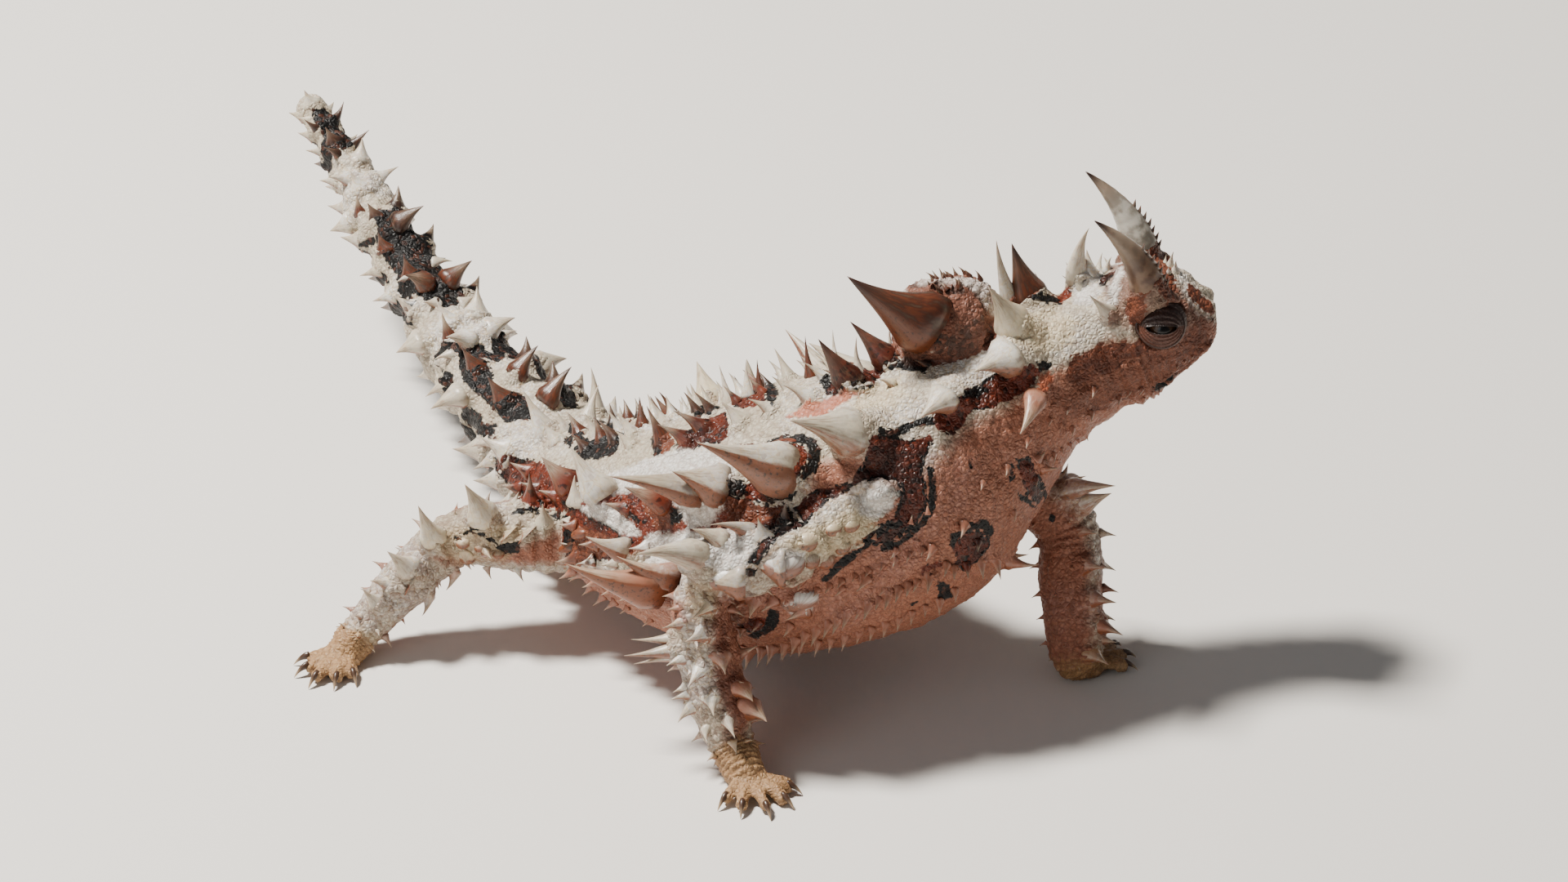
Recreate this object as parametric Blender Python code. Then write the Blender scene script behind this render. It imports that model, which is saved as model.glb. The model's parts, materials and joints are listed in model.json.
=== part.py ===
"""Thorny devil, a still life-size model: one closed solid for each part of the body.

Lengths in the tables are millimetres and angles are degrees; the meshes are in metres, +Z up.
The animal faces +X and its left side is +Y. Its body is one loft along a bent line from the tail
to the snout, parted by thin cuts, and every thorn is set on the surface of that loft.
"""

import math
import random

import bmesh
import bpy
import numpy as np
from mathutils import Matrix, Vector

MM = 0.001
GAP = 0.3
SEED = 11
BODY_SIDES = 20
LIMB_SIDES = 9
THORN_SIDES = 5
WAIST = 0.52
FLOOR_DEPTH = 20.0

# The snout's tip, and the way the head points: its turn from +X towards +Y.
SNOUT = (56.4, 25.2, 47.4)
HEAD_TURN = 28.0

# Stations of the body: name, centre x, y, z, half width, height above and depth below the centre.
TRUNK = [
    ("tail end", -90.2, 53.4, 32.8, 1.5, 1.5, 1.5),
    ("tail dark", -80.2, 46.7, 27.2, 2.5, 2.4, 2.4),
    ("tail pale", -65.6, 35.6, 21.0, 3.8, 3.5, 3.5),
    ("tail root", -48.8, 22.7, 16.6, 5.3, 4.8, 4.8),
    ("vent", -29.0, 8.8, 14.2, 8.3, 7.0, 6.6),
    ("hips", -18.5, 1.6, 15.4, 11.6, 9.6, 9.2),
    ("loin", -7.5, -3.0, 17.8, 15.4, 13.0, 12.8),
    ("belly", 3.4, -5.6, 20.6, 17.4, 15.8, 15.8),
    ("ribs", 14.0, -5.0, 24.5, 17.2, 17.6, 17.4),
    ("shoulders", 24.6, -1.2, 29.4, 14.8, 17.2, 17.2),
    ("neck root", 31.0, 4.6, 35.4, 11.2, 13.8, 14.2),
    ("neck", 36.6, 11.0, 41.0, 8.4, 9.6, 11.0),
]
# Stations of the head: name, back from the snout, drop, half width, height and depth.
HEAD = [
    ("nape", 15.2, 2.4, 7.5, 8.0, 9.6),
    ("crown", 11.6, 1.0, 7.3, 8.8, 9.8),
    ("brow", 8.6, 0.2, 6.9, 9.0, 9.2),
    ("bridge", 5.8, 0.0, 6.0, 7.8, 7.4),
    ("nose", 3.2, 0.0, 4.8, 5.8, 5.4),
    ("lips", 1.2, 0.0, 3.4, 3.4, 3.1),
    ("snout", 0.3, 0.0, 1.8, 1.6, 1.7),
]

# Where the body is parted, in stations.
BODY_CUTS = [
    ("tail_tip", 0.0, 1.25),
    ("tail_middle", 1.25, 2.55),
    ("tail_base", 2.55, 4.05),
    ("hips", 4.05, 5.7),
    ("belly", 5.7, 7.55),
    ("chest", 7.55, 9.55),
    ("neck", 9.55, 11.75),
    ("head", 11.75, 18.0),
]

# Stations of each limb: centre x, y, z and radius, from deep in the body to the palm or sole.
LIMBS = {
    "arm_right": [
        (27.4, -7.0, 33.4, 5.0),
        (19.2, -19.8, 30.6, 4.0),
        (8.6, -25.8, 23.8, 3.6),
        (9.4, -27.6, 14.0, 3.9),
        (13.4, -30.0, 4.4, 3.1),
        (17.2, -32.8, 1.4, 2.4),
    ],
    "arm_left": [
        (27.0, 7.0, 29.0, 5.2),
        (33.8, 12.6, 24.6, 4.4),
        (39.8, 15.2, 18.6, 4.1),
        (42.2, 12.4, 11.0, 4.1),
        (44.0, 9.6, 3.8, 3.4),
        (45.2, 10.6, 1.4, 2.4),
    ],
    "leg_right": [
        (-15.0, -3.0, 14.4, 6.2),
        (-25.2, -11.0, 14.8, 4.8),
        (-33.2, -15.2, 14.2, 3.6),
        (-38.2, -20.0, 9.0, 3.3),
        (-41.8, -25.0, 3.6, 2.6),
        (-43.0, -28.0, 1.4, 2.2),
    ],
    "leg_left": [
        (-14.0, 6.0, 14.4, 6.2),
        (-13.0, 17.0, 15.6, 4.8),
        (-11.4, 25.2, 14.2, 3.6),
        (-16.2, 29.4, 9.0, 3.3),
        (-20.4, 32.2, 3.6, 2.6),
        (-18.6, 35.4, 1.4, 2.2),
    ],
}
LIMB_PARTS = {
    "arm": ("upper_arm", "forearm", "hand"),
    "leg": ("thigh", "shank", "foot"),
}
# The fan of toes on each foot: first and last direction from +X, and length from the sole's centre.
TOES = {
    "arm_right": (8.0, -98.0, 7.6),
    "arm_left": (28.0, 128.0, 7.0),
    "leg_right": (-150.0, -48.0, 6.8),
    "leg_left": (24.0, 128.0, 6.8),
}
TOE_COUNT = 5
TOE_RADIUS = 1.15
PAD_SIZE = (3.2, 2.9, 2.2)
CLAW_LENGTH = 1.8

# The eye: back from the snout, to the side, above the head's line, and the ball's radius.
EYE = (7.9, 6.2, 2.9, 2.1)
LID_THICK = 0.55
LID_SLIT = (2.7, 0.9)
# The brow horn: back, to the side and above the head's line, its reach and its root's radius.
HORN_ROOT = (9.4, 4.6, 6.4)
HORN_REACH = (7.4, 2.0, 12.2)
HORN_RADIUS = 2.9
# The nostril and the line of the mouth, from the snout.
NOSTRIL = (1.7, 2.4, 2.2, 0.45)
MOUTH_LINE = [(-0.6, -1.1), (2.4, -2.4), (5.2, -4.6), (8.6, -6.0)]
MOUTH_OPENING = 0.32

# The knob on the nape: where it sits, its lift off the skin, its half length, width and height,
# and how far its two large thorns reach back, out and up.
KNOB_STATION = 10.65
KNOB_LIFT = 1.6
KNOB_ROOT = 3.4
KNOB_SIZE = (7.0, 4.2, 7.0)
KNOB_THORNS = {"right": (8.6, 1.6, 12.4), "left": (4.0, 7.0, 2.0)}
KNOB_THORN_RADIUS = 3.6

# The back's middle line is rolled a little to the left: stations, and its angle there.
MIDLINE = ((4.0, 8.0, 10.0, 12.0, 14.0), (0.0, 14.0, 20.0, 16.0, 0.0))

# The great thorns of each side: station, angle from the middle line, length, root radius, lean to
# the tail and lean up to the middle line.
GREAT_THORNS = [
    ("shoulder", 8.85, 50.0, 9.6, 3.1, 1.1, 0.30),
    ("shoulder blade", 8.15, 56.0, 10.4, 3.2, 1.1, 0.40),
    ("rib", 7.50, 57.0, 7.4, 2.4, 1.2, 0.35),
    ("loin", 7.10, 58.0, 7.6, 2.2, 1.2, 0.10),
    ("croup", 5.95, 53.0, 5.8, 1.9, 1.0, 0.50),
    ("hip", 5.25, 51.0, 4.8, 1.7, 1.1, 0.10),
    ("upper flank", 7.45, 86.0, 8.9, 2.3, 1.2, 0.25),
    ("flank", 7.10, 96.0, 7.8, 2.0, 1.1, 0.70),
    ("lower flank", 6.80, 104.0, 11.0, 2.8, 1.1, 0.60),
    ("hip side", 6.35, 80.0, 5.2, 1.7, 1.2, 0.30),
    ("hip top", 5.60, 70.0, 4.2, 1.5, 0.4, 0.60),
    ("neck plate", 10.85, 51.0, 5.2, 2.3, 1.2, 0.10),
    ("neck plate behind", 9.95, 56.0, 4.2, 1.9, 1.1, -0.20),
    ("neck side", 10.80, 86.0, 6.2, 1.6, 0.9, -0.40),
    ("neck crest", 11.4, 12.0, 7.2, 1.8, -0.2, 0.00),
    ("nape", 12.20, 7.0, 7.2, 2.0, -0.6, 0.00),
    ("nape side", 12.35, 42.0, 3.4, 1.3, 0.5, 0.00),
]
MIRROR_SHIFT = 0.12
GREAT_WAIST = 0.64

# Rows of smaller thorns on each side: first and last station, how many, angle from the back at
# each end, length at each end, root radius as a share of the length, and lean to the tail.
TRUNK_ROWS = [
    ("midback", 4.35, 9.45, 11, 9.0, 11.0, 4.2, 4.6, 0.24, 0.35),
    ("upper back", 4.7, 8.9, 8, 25.0, 24.0, 4.2, 4.6, 0.38, 0.75),
    ("lower flank", 4.7, 8.6, 6, 112.0, 104.0, 3.8, 4.4, 0.36, 0.9),
    ("belly edge", 4.7, 9.3, 10, 130.0, 118.0, 2.2, 1.9, 0.36, 0.6),
]
NECK_ROWS = [
    ("throat side", 9.9, 11.0, 2, 100.0, 112.0, 4.4, 3.6, 0.3, 0.9),
    ("throat", 11.2, 12.6, 3, 160.0, 150.0, 1.4, 1.2, 0.36, 0.5),
]
HEAD_ROWS = [
    ("temple", 12.2, 12.2, 1, 84.0, 84.0, 2.6, 2.6, 0.4, 0.8),
    ("nose ridge", 15.0, 16.6, 2, 24.0, 20.0, 1.5, 1.2, 0.45, 0.4),
]
TAIL_WHORLS = 14
TAIL_ANGLES = (26.0, 78.0, 134.0)
TAIL_THORN = (5.8, 2.2)
TAIL_SPAN = (0.12, 4.0)
TAIL_GIRTH = 0.44
TAIL_LEAN = 0.75
JITTER = 0.16
ANGLE_JITTER = 4.0
# Rings of thorns on each limb: how many, how many thorns each, the stations they span, and the
# length of a thorn on the inner and on the outer side.
LIMB_THORN_RINGS = 6
LIMB_THORNS_ROUND = 4
LIMB_THORN_SPAN = (1.05, 3.68)
LIMB_THORN = (1.9, 4.0)
LIMB_GIRTH = 0.36
LIMB_LEAN = 0.35
KNEE_ROOM = 0.22
CUT_MARGIN = 0.35
SMALL_THORN = 3.4
GREAT_ROOT = 2.2

PALE = (0.72, 0.68, 0.58)
RUST = (0.36, 0.15, 0.08)
DARK = (0.05, 0.04, 0.035)
HORN = (0.42, 0.36, 0.29)


def catmull(values, t):
    """A point of the smooth curve through the rows of values, at station t."""
    count = len(values)
    i = min(max(int(math.floor(t)), 0), count - 2)
    u = t - i
    p1, p2 = values[i], values[i + 1]
    p0 = values[i - 1] if i > 0 else 2 * p1 - p2
    p3 = values[i + 2] if i + 2 < count else 2 * p2 - p1
    return 0.5 * (
        2 * p1 + (p2 - p0) * u + (2 * p0 - 5 * p1 + 4 * p2 - p3) * u * u
        + (3 * p1 - p0 - 3 * p2 + p3) * u * u * u
    )


def unit(v):
    """The vector at length one."""
    return v / np.linalg.norm(v)


def head_point(back, side, above):
    """A point placed from the snout, along the head's own directions."""
    turn = math.radians(HEAD_TURN)
    ahead = np.array([math.cos(turn), math.sin(turn), 0.0])
    left = np.array([-math.sin(turn), math.cos(turn), 0.0])
    return np.array(SNOUT) - ahead * back + left * side + np.array([0.0, 0.0, above])


def body_table():
    """All stations of the body, tail to snout, as rows of x, y, z, width, height and depth."""
    rows = [row[1:] for row in TRUNK]
    for name, back, drop, wide, up, down in HEAD:
        rows.append((*head_point(back, 0.0, -drop), wide, up, down))
    return np.array(rows)


BODY = body_table()


class BodyPoint:
    """The body's section at a station: its centre, directions and size."""

    def __init__(self, t):
        row = catmull(BODY, t)
        self.centre, self.size = row[:3], np.maximum(row[3:], 0.4)
        step = 0.02
        self.ahead = unit(catmull(BODY, t + step)[:3] - catmull(BODY, t - step)[:3])
        self.left = unit(np.cross((0.0, 0.0, 1.0), self.ahead))
        self.up = np.cross(self.ahead, self.left)

    def skin(self, angle, grow=0.0):
        """A point on the skin; the angle is 0 on the back, 90 at the left and -90 at the right."""
        wide, up, down = self.size + grow
        s, c = math.sin(math.radians(angle)), math.cos(math.radians(angle))
        return self.centre + self.left * (wide * s) + self.up * ((up if c > 0 else down) * c)

    def outward(self, angle):
        """The skin's normal at an angle."""
        wide, up, down = self.size
        s, c = math.sin(math.radians(angle)), math.cos(math.radians(angle))
        return unit(self.left * (s / wide) + self.up * (c / (up if c > 0 else down)))


def make_object(name, points, faces):
    """A mesh object from points in millimetres, with its faces turned out."""
    mesh = bpy.data.meshes.new(name)
    mesh.from_pydata([tuple(float(v) * MM for v in p) for p in points], [], faces)
    bm = bmesh.new()
    bm.from_mesh(mesh)
    bmesh.ops.recalc_face_normals(bm, faces=bm.faces)
    bm.to_mesh(mesh)
    bm.free()
    obj = bpy.data.objects.new(name, mesh)
    bpy.context.scene.collection.objects.link(obj)
    return obj


def loft(name, rings):
    """A closed tube through rings of points, ended flat, or in a point where a ring has one."""
    points, faces, starts = [], [], []
    for ring in rings:
        starts.append(len(points))
        points.extend(ring)
    for k in range(len(rings) - 1):
        a, b = starts[k], starts[k + 1]
        na, nb = len(rings[k]), len(rings[k + 1])
        for i in range(max(na, nb)):
            j = (i + 1) % max(na, nb)
            if nb == 1:
                faces.append((a + i, a + j, b))
            elif na == 1:
                faces.append((a, b + i, b + j))
            else:
                faces.append((a + i, a + j, b + j, b + i))
    for k, start in ((0, starts[0]), (-1, starts[-1])):
        if len(rings[k]) > 2:
            faces.append(tuple(range(start, start + len(rings[k]))))
    return make_object(name, points, faces)


def part_rings(rings, ways, start_gap, end_gap):
    """The rings of a tube, its first and last ring drawn in by the gap to the next piece."""
    rings[0] = [p + ways[0] * start_gap for p in rings[0]]
    rings[-1] = [p - ways[-1] * end_gap for p in rings[-1]]
    return rings


def body_piece(name, start, end, grow=0.0, sides=BODY_SIDES, gaps=(0.0, 0.0)):
    """The body's loft between two stations."""
    count = max(3, int(math.ceil((end - start) * 3.0)) + 1)
    spots = [BodyPoint(t) for t in np.linspace(start, end, count)]
    rings = [[here.skin(360.0 * k / sides, grow) for k in range(sides)] for here in spots]
    return loft(name, part_rings(rings, [here.ahead for here in spots], *gaps))


def ring_round(centre, ahead, side, radius, sides):
    """A circle of points across a direction; side is one direction across it."""
    up = np.cross(ahead, side)
    angles = [2 * math.pi * k / sides for k in range(sides)]
    return [centre + (side * math.cos(a) + up * math.sin(a)) * radius for a in angles]


def limb_ahead(rows, t):
    """The way a limb's line runs at station t."""
    return unit(catmull(rows, t + 0.05)[:3] - catmull(rows, t - 0.05)[:3])


class LimbPoint:
    """A limb's section at a station; its angle 0 faces away from the body's middle line."""

    def __init__(self, rows, t):
        row = catmull(rows, t)
        self.centre, self.radius = row[:3], row[3]
        self.ahead = limb_ahead(rows, t)
        away = rows[2][:3] - rows[0][:3]
        away = np.array([0.0, away[1], 0.0]) / abs(away[1]) + np.array([0.25, 0.0, 0.5])
        self.out = unit(away - self.ahead * float(away @ self.ahead))
        self.side = np.cross(self.ahead, self.out)

    def outward(self, angle):
        """The skin's normal at an angle."""
        a = math.radians(angle)
        return self.out * math.cos(a) + self.side * math.sin(a)

    def skin(self, angle):
        """A point on the limb's skin."""
        return self.centre + self.outward(angle) * self.radius


def limb_piece(name, rows, start, end, per_station=3, gaps=(0.0, 0.0), sides=LIMB_SIDES):
    """A limb's tube between two stations."""
    count = max(2, int(round((end - start) * per_station)) + 1)
    spots = [LimbPoint(rows, t) for t in np.linspace(start, end, count)]
    rings = [[here.skin(360.0 * k / sides) for k in range(sides)] for here in spots]
    return loft(name, part_rings(rings, [here.ahead for here in spots], *gaps))


def thorn(root, outward, lean, length, radius, sides=THORN_SIDES, waist=WAIST):
    """A thorn: a broad root sunk in the skin, drawn to a point that bends the way of lean."""
    side = unit(np.cross(lean, outward))
    sunk = min(0.35 * length, radius + 0.2)
    way = unit(outward + lean)
    middle = root + unit(outward + 0.7 * lean) * (0.38 * length)
    rings = [
        ring_round(root - outward * sunk, outward, side, radius * 1.1, sides),
        ring_round(middle, way, side, radius * waist, sides),
        [root + way * length + lean * (0.12 * length)],
    ]
    return loft("thorn", rings)


def run_modifier(obj, **settings):
    """Adds a Boolean with these settings and applies it."""
    modifier = obj.modifiers.new("join", "BOOLEAN")
    for key, value in settings.items():
        setattr(modifier, key, value)
    depsgraph = bpy.context.evaluated_depsgraph_get()
    result = bpy.data.meshes.new_from_object(obj.evaluated_get(depsgraph))
    obj.modifiers.clear()
    old, obj.data = obj.data, result
    bpy.data.meshes.remove(old)


def remove(objects):
    """Takes objects and their meshes out of the model."""
    for obj in list(objects):
        mesh = obj.data
        bpy.data.objects.remove(obj)
        bpy.data.meshes.remove(mesh)


def keep_largest(obj):
    """Leaves only the largest closed surface of a mesh."""
    bm = bmesh.new()
    bm.from_mesh(obj.data)
    left, groups = set(bm.faces), []
    while left:
        stack = [left.pop()]
        group = list(stack)
        while stack:
            for edge in stack.pop().edges:
                for face in edge.link_faces:
                    if face in left:
                        left.remove(face)
                        stack.append(face)
                        group.append(face)
        groups.append(group)

    def span(group):
        spots = np.array([tuple(v.co) for face in group for v in face.verts])
        return float(np.prod(np.ptp(spots, axis=0) + 1e-9))

    groups.sort(key=span)
    dropped = [face for group in groups[:-1] for face in group]
    if dropped:
        bmesh.ops.delete(bm, geom=dropped, context="FACES")
        loose = [v for v in bm.verts if not v.link_faces]
        bmesh.ops.delete(bm, geom=loose, context="VERTS")
    bm.to_mesh(obj.data)
    bm.free()


def fuse(obj, pieces):
    """Joins pieces to an object by one union on their collection, and removes the pieces."""
    if not pieces:
        return obj
    group = bpy.data.collections.new(obj.name + "_pieces")
    bpy.context.scene.collection.children.link(group)
    for piece in pieces:
        group.objects.link(piece)
        bpy.context.scene.collection.objects.unlink(piece)
    run_modifier(obj, operation="UNION", solver="MANIFOLD", operand_type="COLLECTION", collection=group)
    remove(pieces)
    bpy.data.collections.remove(group)
    keep_largest(obj)
    return obj


def cut(obj, cutters):
    """Cuts an object by each cutter, and removes the cutters."""
    for cutter in cutters:
        run_modifier(obj, operation="DIFFERENCE", solver="MANIFOLD", object=cutter)
    remove(cutters)
    keep_largest(obj)
    return obj


def finish(obj, colour, roughness=0.7):
    """Gives an object its own material."""
    material = bpy.data.materials.new(obj.name)
    material.use_nodes = True
    shader = material.node_tree.nodes["Principled BSDF"]
    shader.inputs["Base Color"].default_value = (*colour, 1.0)
    shader.inputs["Roughness"].default_value = roughness
    shader.inputs["Metallic"].default_value = 0.0
    obj.data.materials.clear()
    obj.data.materials.append(material)
    return obj


def limb_table(name):
    """A limb's stations as rows of x, y, z and radius."""
    return np.array(LIMBS[name])


def clear_of_limbs(points, room):
    """Whether points stay off every limb by some room."""
    for name in LIMBS:
        rows = limb_table(name)
        for t in np.linspace(0.0, 4.0, 33):
            row = catmull(rows, t)
            for point in points:
                if np.linalg.norm(point - row[:3]) < row[3] + room:
                    return False
    return True


BODY_SPOTS = [BodyPoint(t) for t in np.arange(0.0, 18.0, 0.12)]


def clear_of_body(points, room):
    """Whether points stay off the body's skin by some room."""
    for here in BODY_SPOTS:
        for point in points:
            off = point - here.centre
            if abs(float(off @ here.ahead)) > 1.2:
                continue
            wide, up, down = here.size + room
            rise = float(off @ here.up)
            tall = up if rise > 0 else down
            if (float(off @ here.left) / wide) ** 2 + (rise / tall) ** 2 < 1.0:
                return False
    return True


class Placed:
    """The thorns set so far, so that no thorn crosses one of another node."""

    def __init__(self):
        self.rows = []

    def take(self, node, root, way, length, radius):
        """Whether a thorn is clear of the other nodes' thorns; if it is, it is kept in mind."""
        spots = [(root + way * length * s, radius * (1.1 - s)) for s in (0.0, 0.25, 0.5, 0.75, 1.0)]
        for other, rows in self.rows:
            if other == node:
                continue
            for spot, thick in spots:
                for mark, girth in rows:
                    if np.linalg.norm(spot - mark) < thick + girth + CUT_MARGIN:
                        return False
        self.rows.append((node, spots))
        return True


PLACED = Placed()


def node_at(t, angle, room):
    """The body's node that holds station t, and t moved until its skin is off the node's cuts."""
    name, start, end = next(row for row in BODY_CUTS if row[1] <= t < row[2])
    for limit, way in ((start, 1.0), (end, -1.0)):
        if 0.0 < limit < BODY_CUTS[-1][2]:
            plane = BodyPoint(limit)
            while float((BodyPoint(t).skin(angle) - plane.centre) @ plane.ahead) * way < room:
                t += 0.02 * way
    return name, t


def midline(t):
    """The angle of the back's middle line at a station."""
    return float(np.interp(t, *MIDLINE))


def body_thorn(t, angle, length, radius, lean, rise=0.0, waist=WAIST):
    """The node and the thorn at a station and an angle, or nothing where it would cross another."""
    node, t = node_at(t, angle, radius * 1.15 + CUT_MARGIN)
    here = BodyPoint(t)
    root, outward = here.skin(angle), here.outward(angle)
    upward = unit(here.skin(angle + 0.1 * (midline(t) - angle)) - root)
    bent = upward * rise - here.ahead * lean
    way = unit(outward + bent)
    reach = [root + way * length * share for share in (0.0, 0.5, 1.0)]
    if not clear_of_limbs(reach, radius * 0.8 + 0.5):
        return None
    if not clear_of_body(reach[1:], 0.3 * radius + CUT_MARGIN):
        return None
    if not PLACED.take(node, root, way, length, radius):
        return None
    sides = THORN_SIDES if length > SMALL_THORN else 4
    sides += radius > GREAT_ROOT
    return node, thorn(root, outward, bent, length, radius, sides, waist)


def great_thorns(chance):
    """The great thorns of both sides, those of the left a little moved."""
    made = []
    for name, t, angle, length, radius, lean, rise in GREAT_THORNS:
        made.append(body_thorn(t, midline(t) - angle, length, radius, lean, rise, GREAT_WAIST))
        moved = t + chance.uniform(-MIRROR_SHIFT, MIRROR_SHIFT)
        other = length * (1.0 + chance.uniform(-JITTER, JITTER) / 2)
        made.append(body_thorn(moved, midline(t) + angle, other, radius, lean, rise, GREAT_WAIST))
    return [pair for pair in made if pair]


def row_thorns(rows, chance):
    """The thorns of rows that run along both sides of the body."""
    made = []
    for name, start, end, count, angle_a, angle_b, long_a, long_b, girth, lean in rows:
        for side in (1.0, -1.0):
            for k in range(count):
                share = (k + 0.25 * (side > 0)) / max(count - 1, 1) if count > 1 else 0.0
                share = min(share, 1.0)
                t = start + (end - start) * share
                angle = side * (angle_a + (angle_b - angle_a) * share)
                angle += chance.uniform(-ANGLE_JITTER, ANGLE_JITTER)
                angle += midline(t)
                length = (long_a + (long_b - long_a) * share) * (1.0 + chance.uniform(-JITTER, JITTER))
                made.append(body_thorn(t, angle, length, length * girth, lean))
    return [pair for pair in made if pair]


def tail_thorns(chance):
    """Whorls of thorns round the tail, shorter towards its end."""
    made = []
    for k in range(TAIL_WHORLS):
        share = k / (TAIL_WHORLS - 1)
        t = TAIL_SPAN[0] + (TAIL_SPAN[1] - TAIL_SPAN[0]) * share
        base = TAIL_THORN[1] + (TAIL_THORN[0] - TAIL_THORN[1]) * share
        for angle in TAIL_ANGLES:
            for side in (1.0, -1.0):
                length = base * (1.0 + chance.uniform(-JITTER, JITTER))
                where = side * (angle + chance.uniform(-ANGLE_JITTER, ANGLE_JITTER))
                made.append(body_thorn(t, where, length, length * TAIL_GIRTH, TAIL_LEAN))
    return [pair for pair in made if pair]


def limb_thorns(name, chance):
    """Thorns round a limb, as pairs of station and thorn."""
    rows, made = limb_table(name), []
    first, last = LIMB_THORN_SPAN
    for k in range(LIMB_THORN_RINGS):
        t = first + (last - first) * k / (LIMB_THORN_RINGS - 1)
        if abs(t - 2.0) < KNEE_ROOM:
            t = 2.0 + math.copysign(KNEE_ROOM, t - 2.0)
        here = LimbPoint(rows, t)
        for j in range(LIMB_THORNS_ROUND):
            angle = 360.0 * (j + 0.5 * (k % 2)) / LIMB_THORNS_ROUND + chance.uniform(-14.0, 14.0)
            outward = here.outward(angle)
            outer = 0.5 + 0.5 * math.cos(math.radians(angle))
            length = LIMB_THORN[0] + (LIMB_THORN[1] - LIMB_THORN[0]) * outer
            length *= 1.0 + chance.uniform(-JITTER, JITTER)
            radius = LIMB_GIRTH * length
            lean = here.ahead * (LIMB_LEAN if t > 2.0 else -LIMB_LEAN)
            root, way = here.skin(angle), unit(outward + lean)
            reach = [root + way * length * share for share in (0.0, 0.5, 1.0)]
            if not clear_of_body(reach, radius + 2 * CUT_MARGIN):
                continue
            if min(point[2] for point in reach) < 0.6:
                continue
            if min(np.linalg.norm(point - rows[5][:3]) for point in reach) < PAD_SIZE[0] + 1.0:
                continue
            if PLACED.take(f"{name}{int(t / 2.0)}", root, way, length, radius):
                made.append((t, thorn(root, outward, lean, length, radius, 4)))
    return made


def ball(name, centre, radius, segments=12, rings=8):
    """A round solid."""
    loops = [[np.array(centre) - (0.0, 0.0, radius)]]
    for k in range(1, rings):
        a = math.pi * k / rings
        height, wide = -radius * math.cos(a), radius * math.sin(a)
        loops.append([
            np.array(centre) + (wide * math.cos(b), wide * math.sin(b), height)
            for b in (2 * math.pi * i / segments for i in range(segments))
        ])
    loops.append([np.array(centre) + (0.0, 0.0, radius)])
    return loft(name, loops)


def block(name, low, high):
    """A box between two corners."""
    (x0, y0, z0), (x1, y1, z1) = low, high
    floor = [(x0, y0, z0), (x1, y0, z0), (x1, y1, z0), (x0, y1, z0)]
    top = [(x, y, z1) for x, y, _ in floor]
    return loft(name, [floor, top])


def floor_block():
    """The space under the floor, which every sole is cut by."""
    return block("under_floor", (-120.0, -90.0, -FLOOR_DEPTH), (90.0, 90.0, 0.0))


def make_body(chance):
    """The body's nodes with their thorns."""
    thorns = {name: [] for name, _, _ in BODY_CUTS}
    grown = great_thorns(chance)
    grown += row_thorns(TRUNK_ROWS + NECK_ROWS + HEAD_ROWS, chance)
    grown += tail_thorns(chance)
    for node, piece in grown:
        thorns[node].append(piece)
    made = {}
    for name, start, end in BODY_CUTS:
        gaps = (GAP / 2 if start > 0 else 0.0, GAP / 2 if name != "head" else 0.0)
        made[name] = fuse(body_piece(name, start, end, gaps=gaps), thorns[name])
    return made


def make_limb(name, chance):
    """A limb's three nodes, cut clear of the body and of the floor."""
    kind, side = name.split("_")
    rows, thorns = limb_table(name), limb_thorns(name, chance)
    upper, lower, end = LIMB_PARTS[kind]
    made = []
    for node, start, stop in ((upper, 0.0, 2.0), (lower, 2.0, 4.0)):
        gaps = (GAP / 2 if start > 0 else 0.0, GAP / 2)
        piece = limb_piece(f"{node}_{side}", rows, start, stop, gaps=gaps)
        made.append(fuse(piece, [t for s, t in thorns if start < s < stop]))
    first, last = (7.0, 12.0) if kind == "arm" else (3.0, 7.0)
    for piece in made:
        cut(piece, [body_piece("body_room", first, last, GAP, 2 * BODY_SIDES)])
    made.append(make_foot(f"{end}_{side}", name))
    return made


def make_foot(node, name):
    """A hand or foot: the palm, and a fan of short clawed toes, flat on the floor."""
    rows = limb_table(name)
    first, last, reach = TOES[name]
    palm = rows[5][:3]
    body = limb_piece(node, rows, 4.0, 5.0, 1, (GAP / 2, 0.0))
    pieces = [pad("palm", palm, *PAD_SIZE)]
    for k in range(TOE_COUNT):
        share = k / (TOE_COUNT - 1)
        turn = math.radians(first + (last - first) * share)
        length = reach * (1.0 - 0.22 * abs(2.0 * share - 0.9))
        pieces.append(toe(palm, np.array([math.cos(turn), math.sin(turn), 0.0]), length))
    fuse(body, pieces)
    room = rows + np.array([0.0, 0.0, 0.0, GAP])
    return cut(body, [floor_block(), limb_piece("ankle_room", room, 3.0, 4.0, gaps=(0.0, -0.45 * GAP))])


def pad(name, centre, long, wide, thick):
    """A flattened ball, the palm or the sole."""
    obj = ball(name, (0.0, 0.0, 0.0), 1.0, 12, 6)
    for v in obj.data.vertices:
        x, y, z = v.co
        v.co = ((x * long + centre[0] * MM), (y * wide + centre[1] * MM), (z * thick + centre[2] * MM))
    return obj


def toe(palm, way, length):
    """One toe with its claw, from inside the palm out along the floor."""
    side = np.array([-way[1], way[0], 0.0])
    start = palm * (1, 1, 0) + way * 0.8
    spots = [(0.0, 1.3, 1.2), (0.45, 1.35, 1.1), (0.8, 1.05, 0.95), (1.0, 0.8, 0.6)]
    rings = []
    for share, height, girth in spots:
        centre = start + way * (length - CLAW_LENGTH) * share + np.array([0.0, 0.0, height])
        rings.append(ring_round(centre, way, side, TOE_RADIUS * girth, 6))
    rings.append([start + way * length + np.array([0.0, 0.0, 0.25])])
    return loft("toe", rings)


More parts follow.
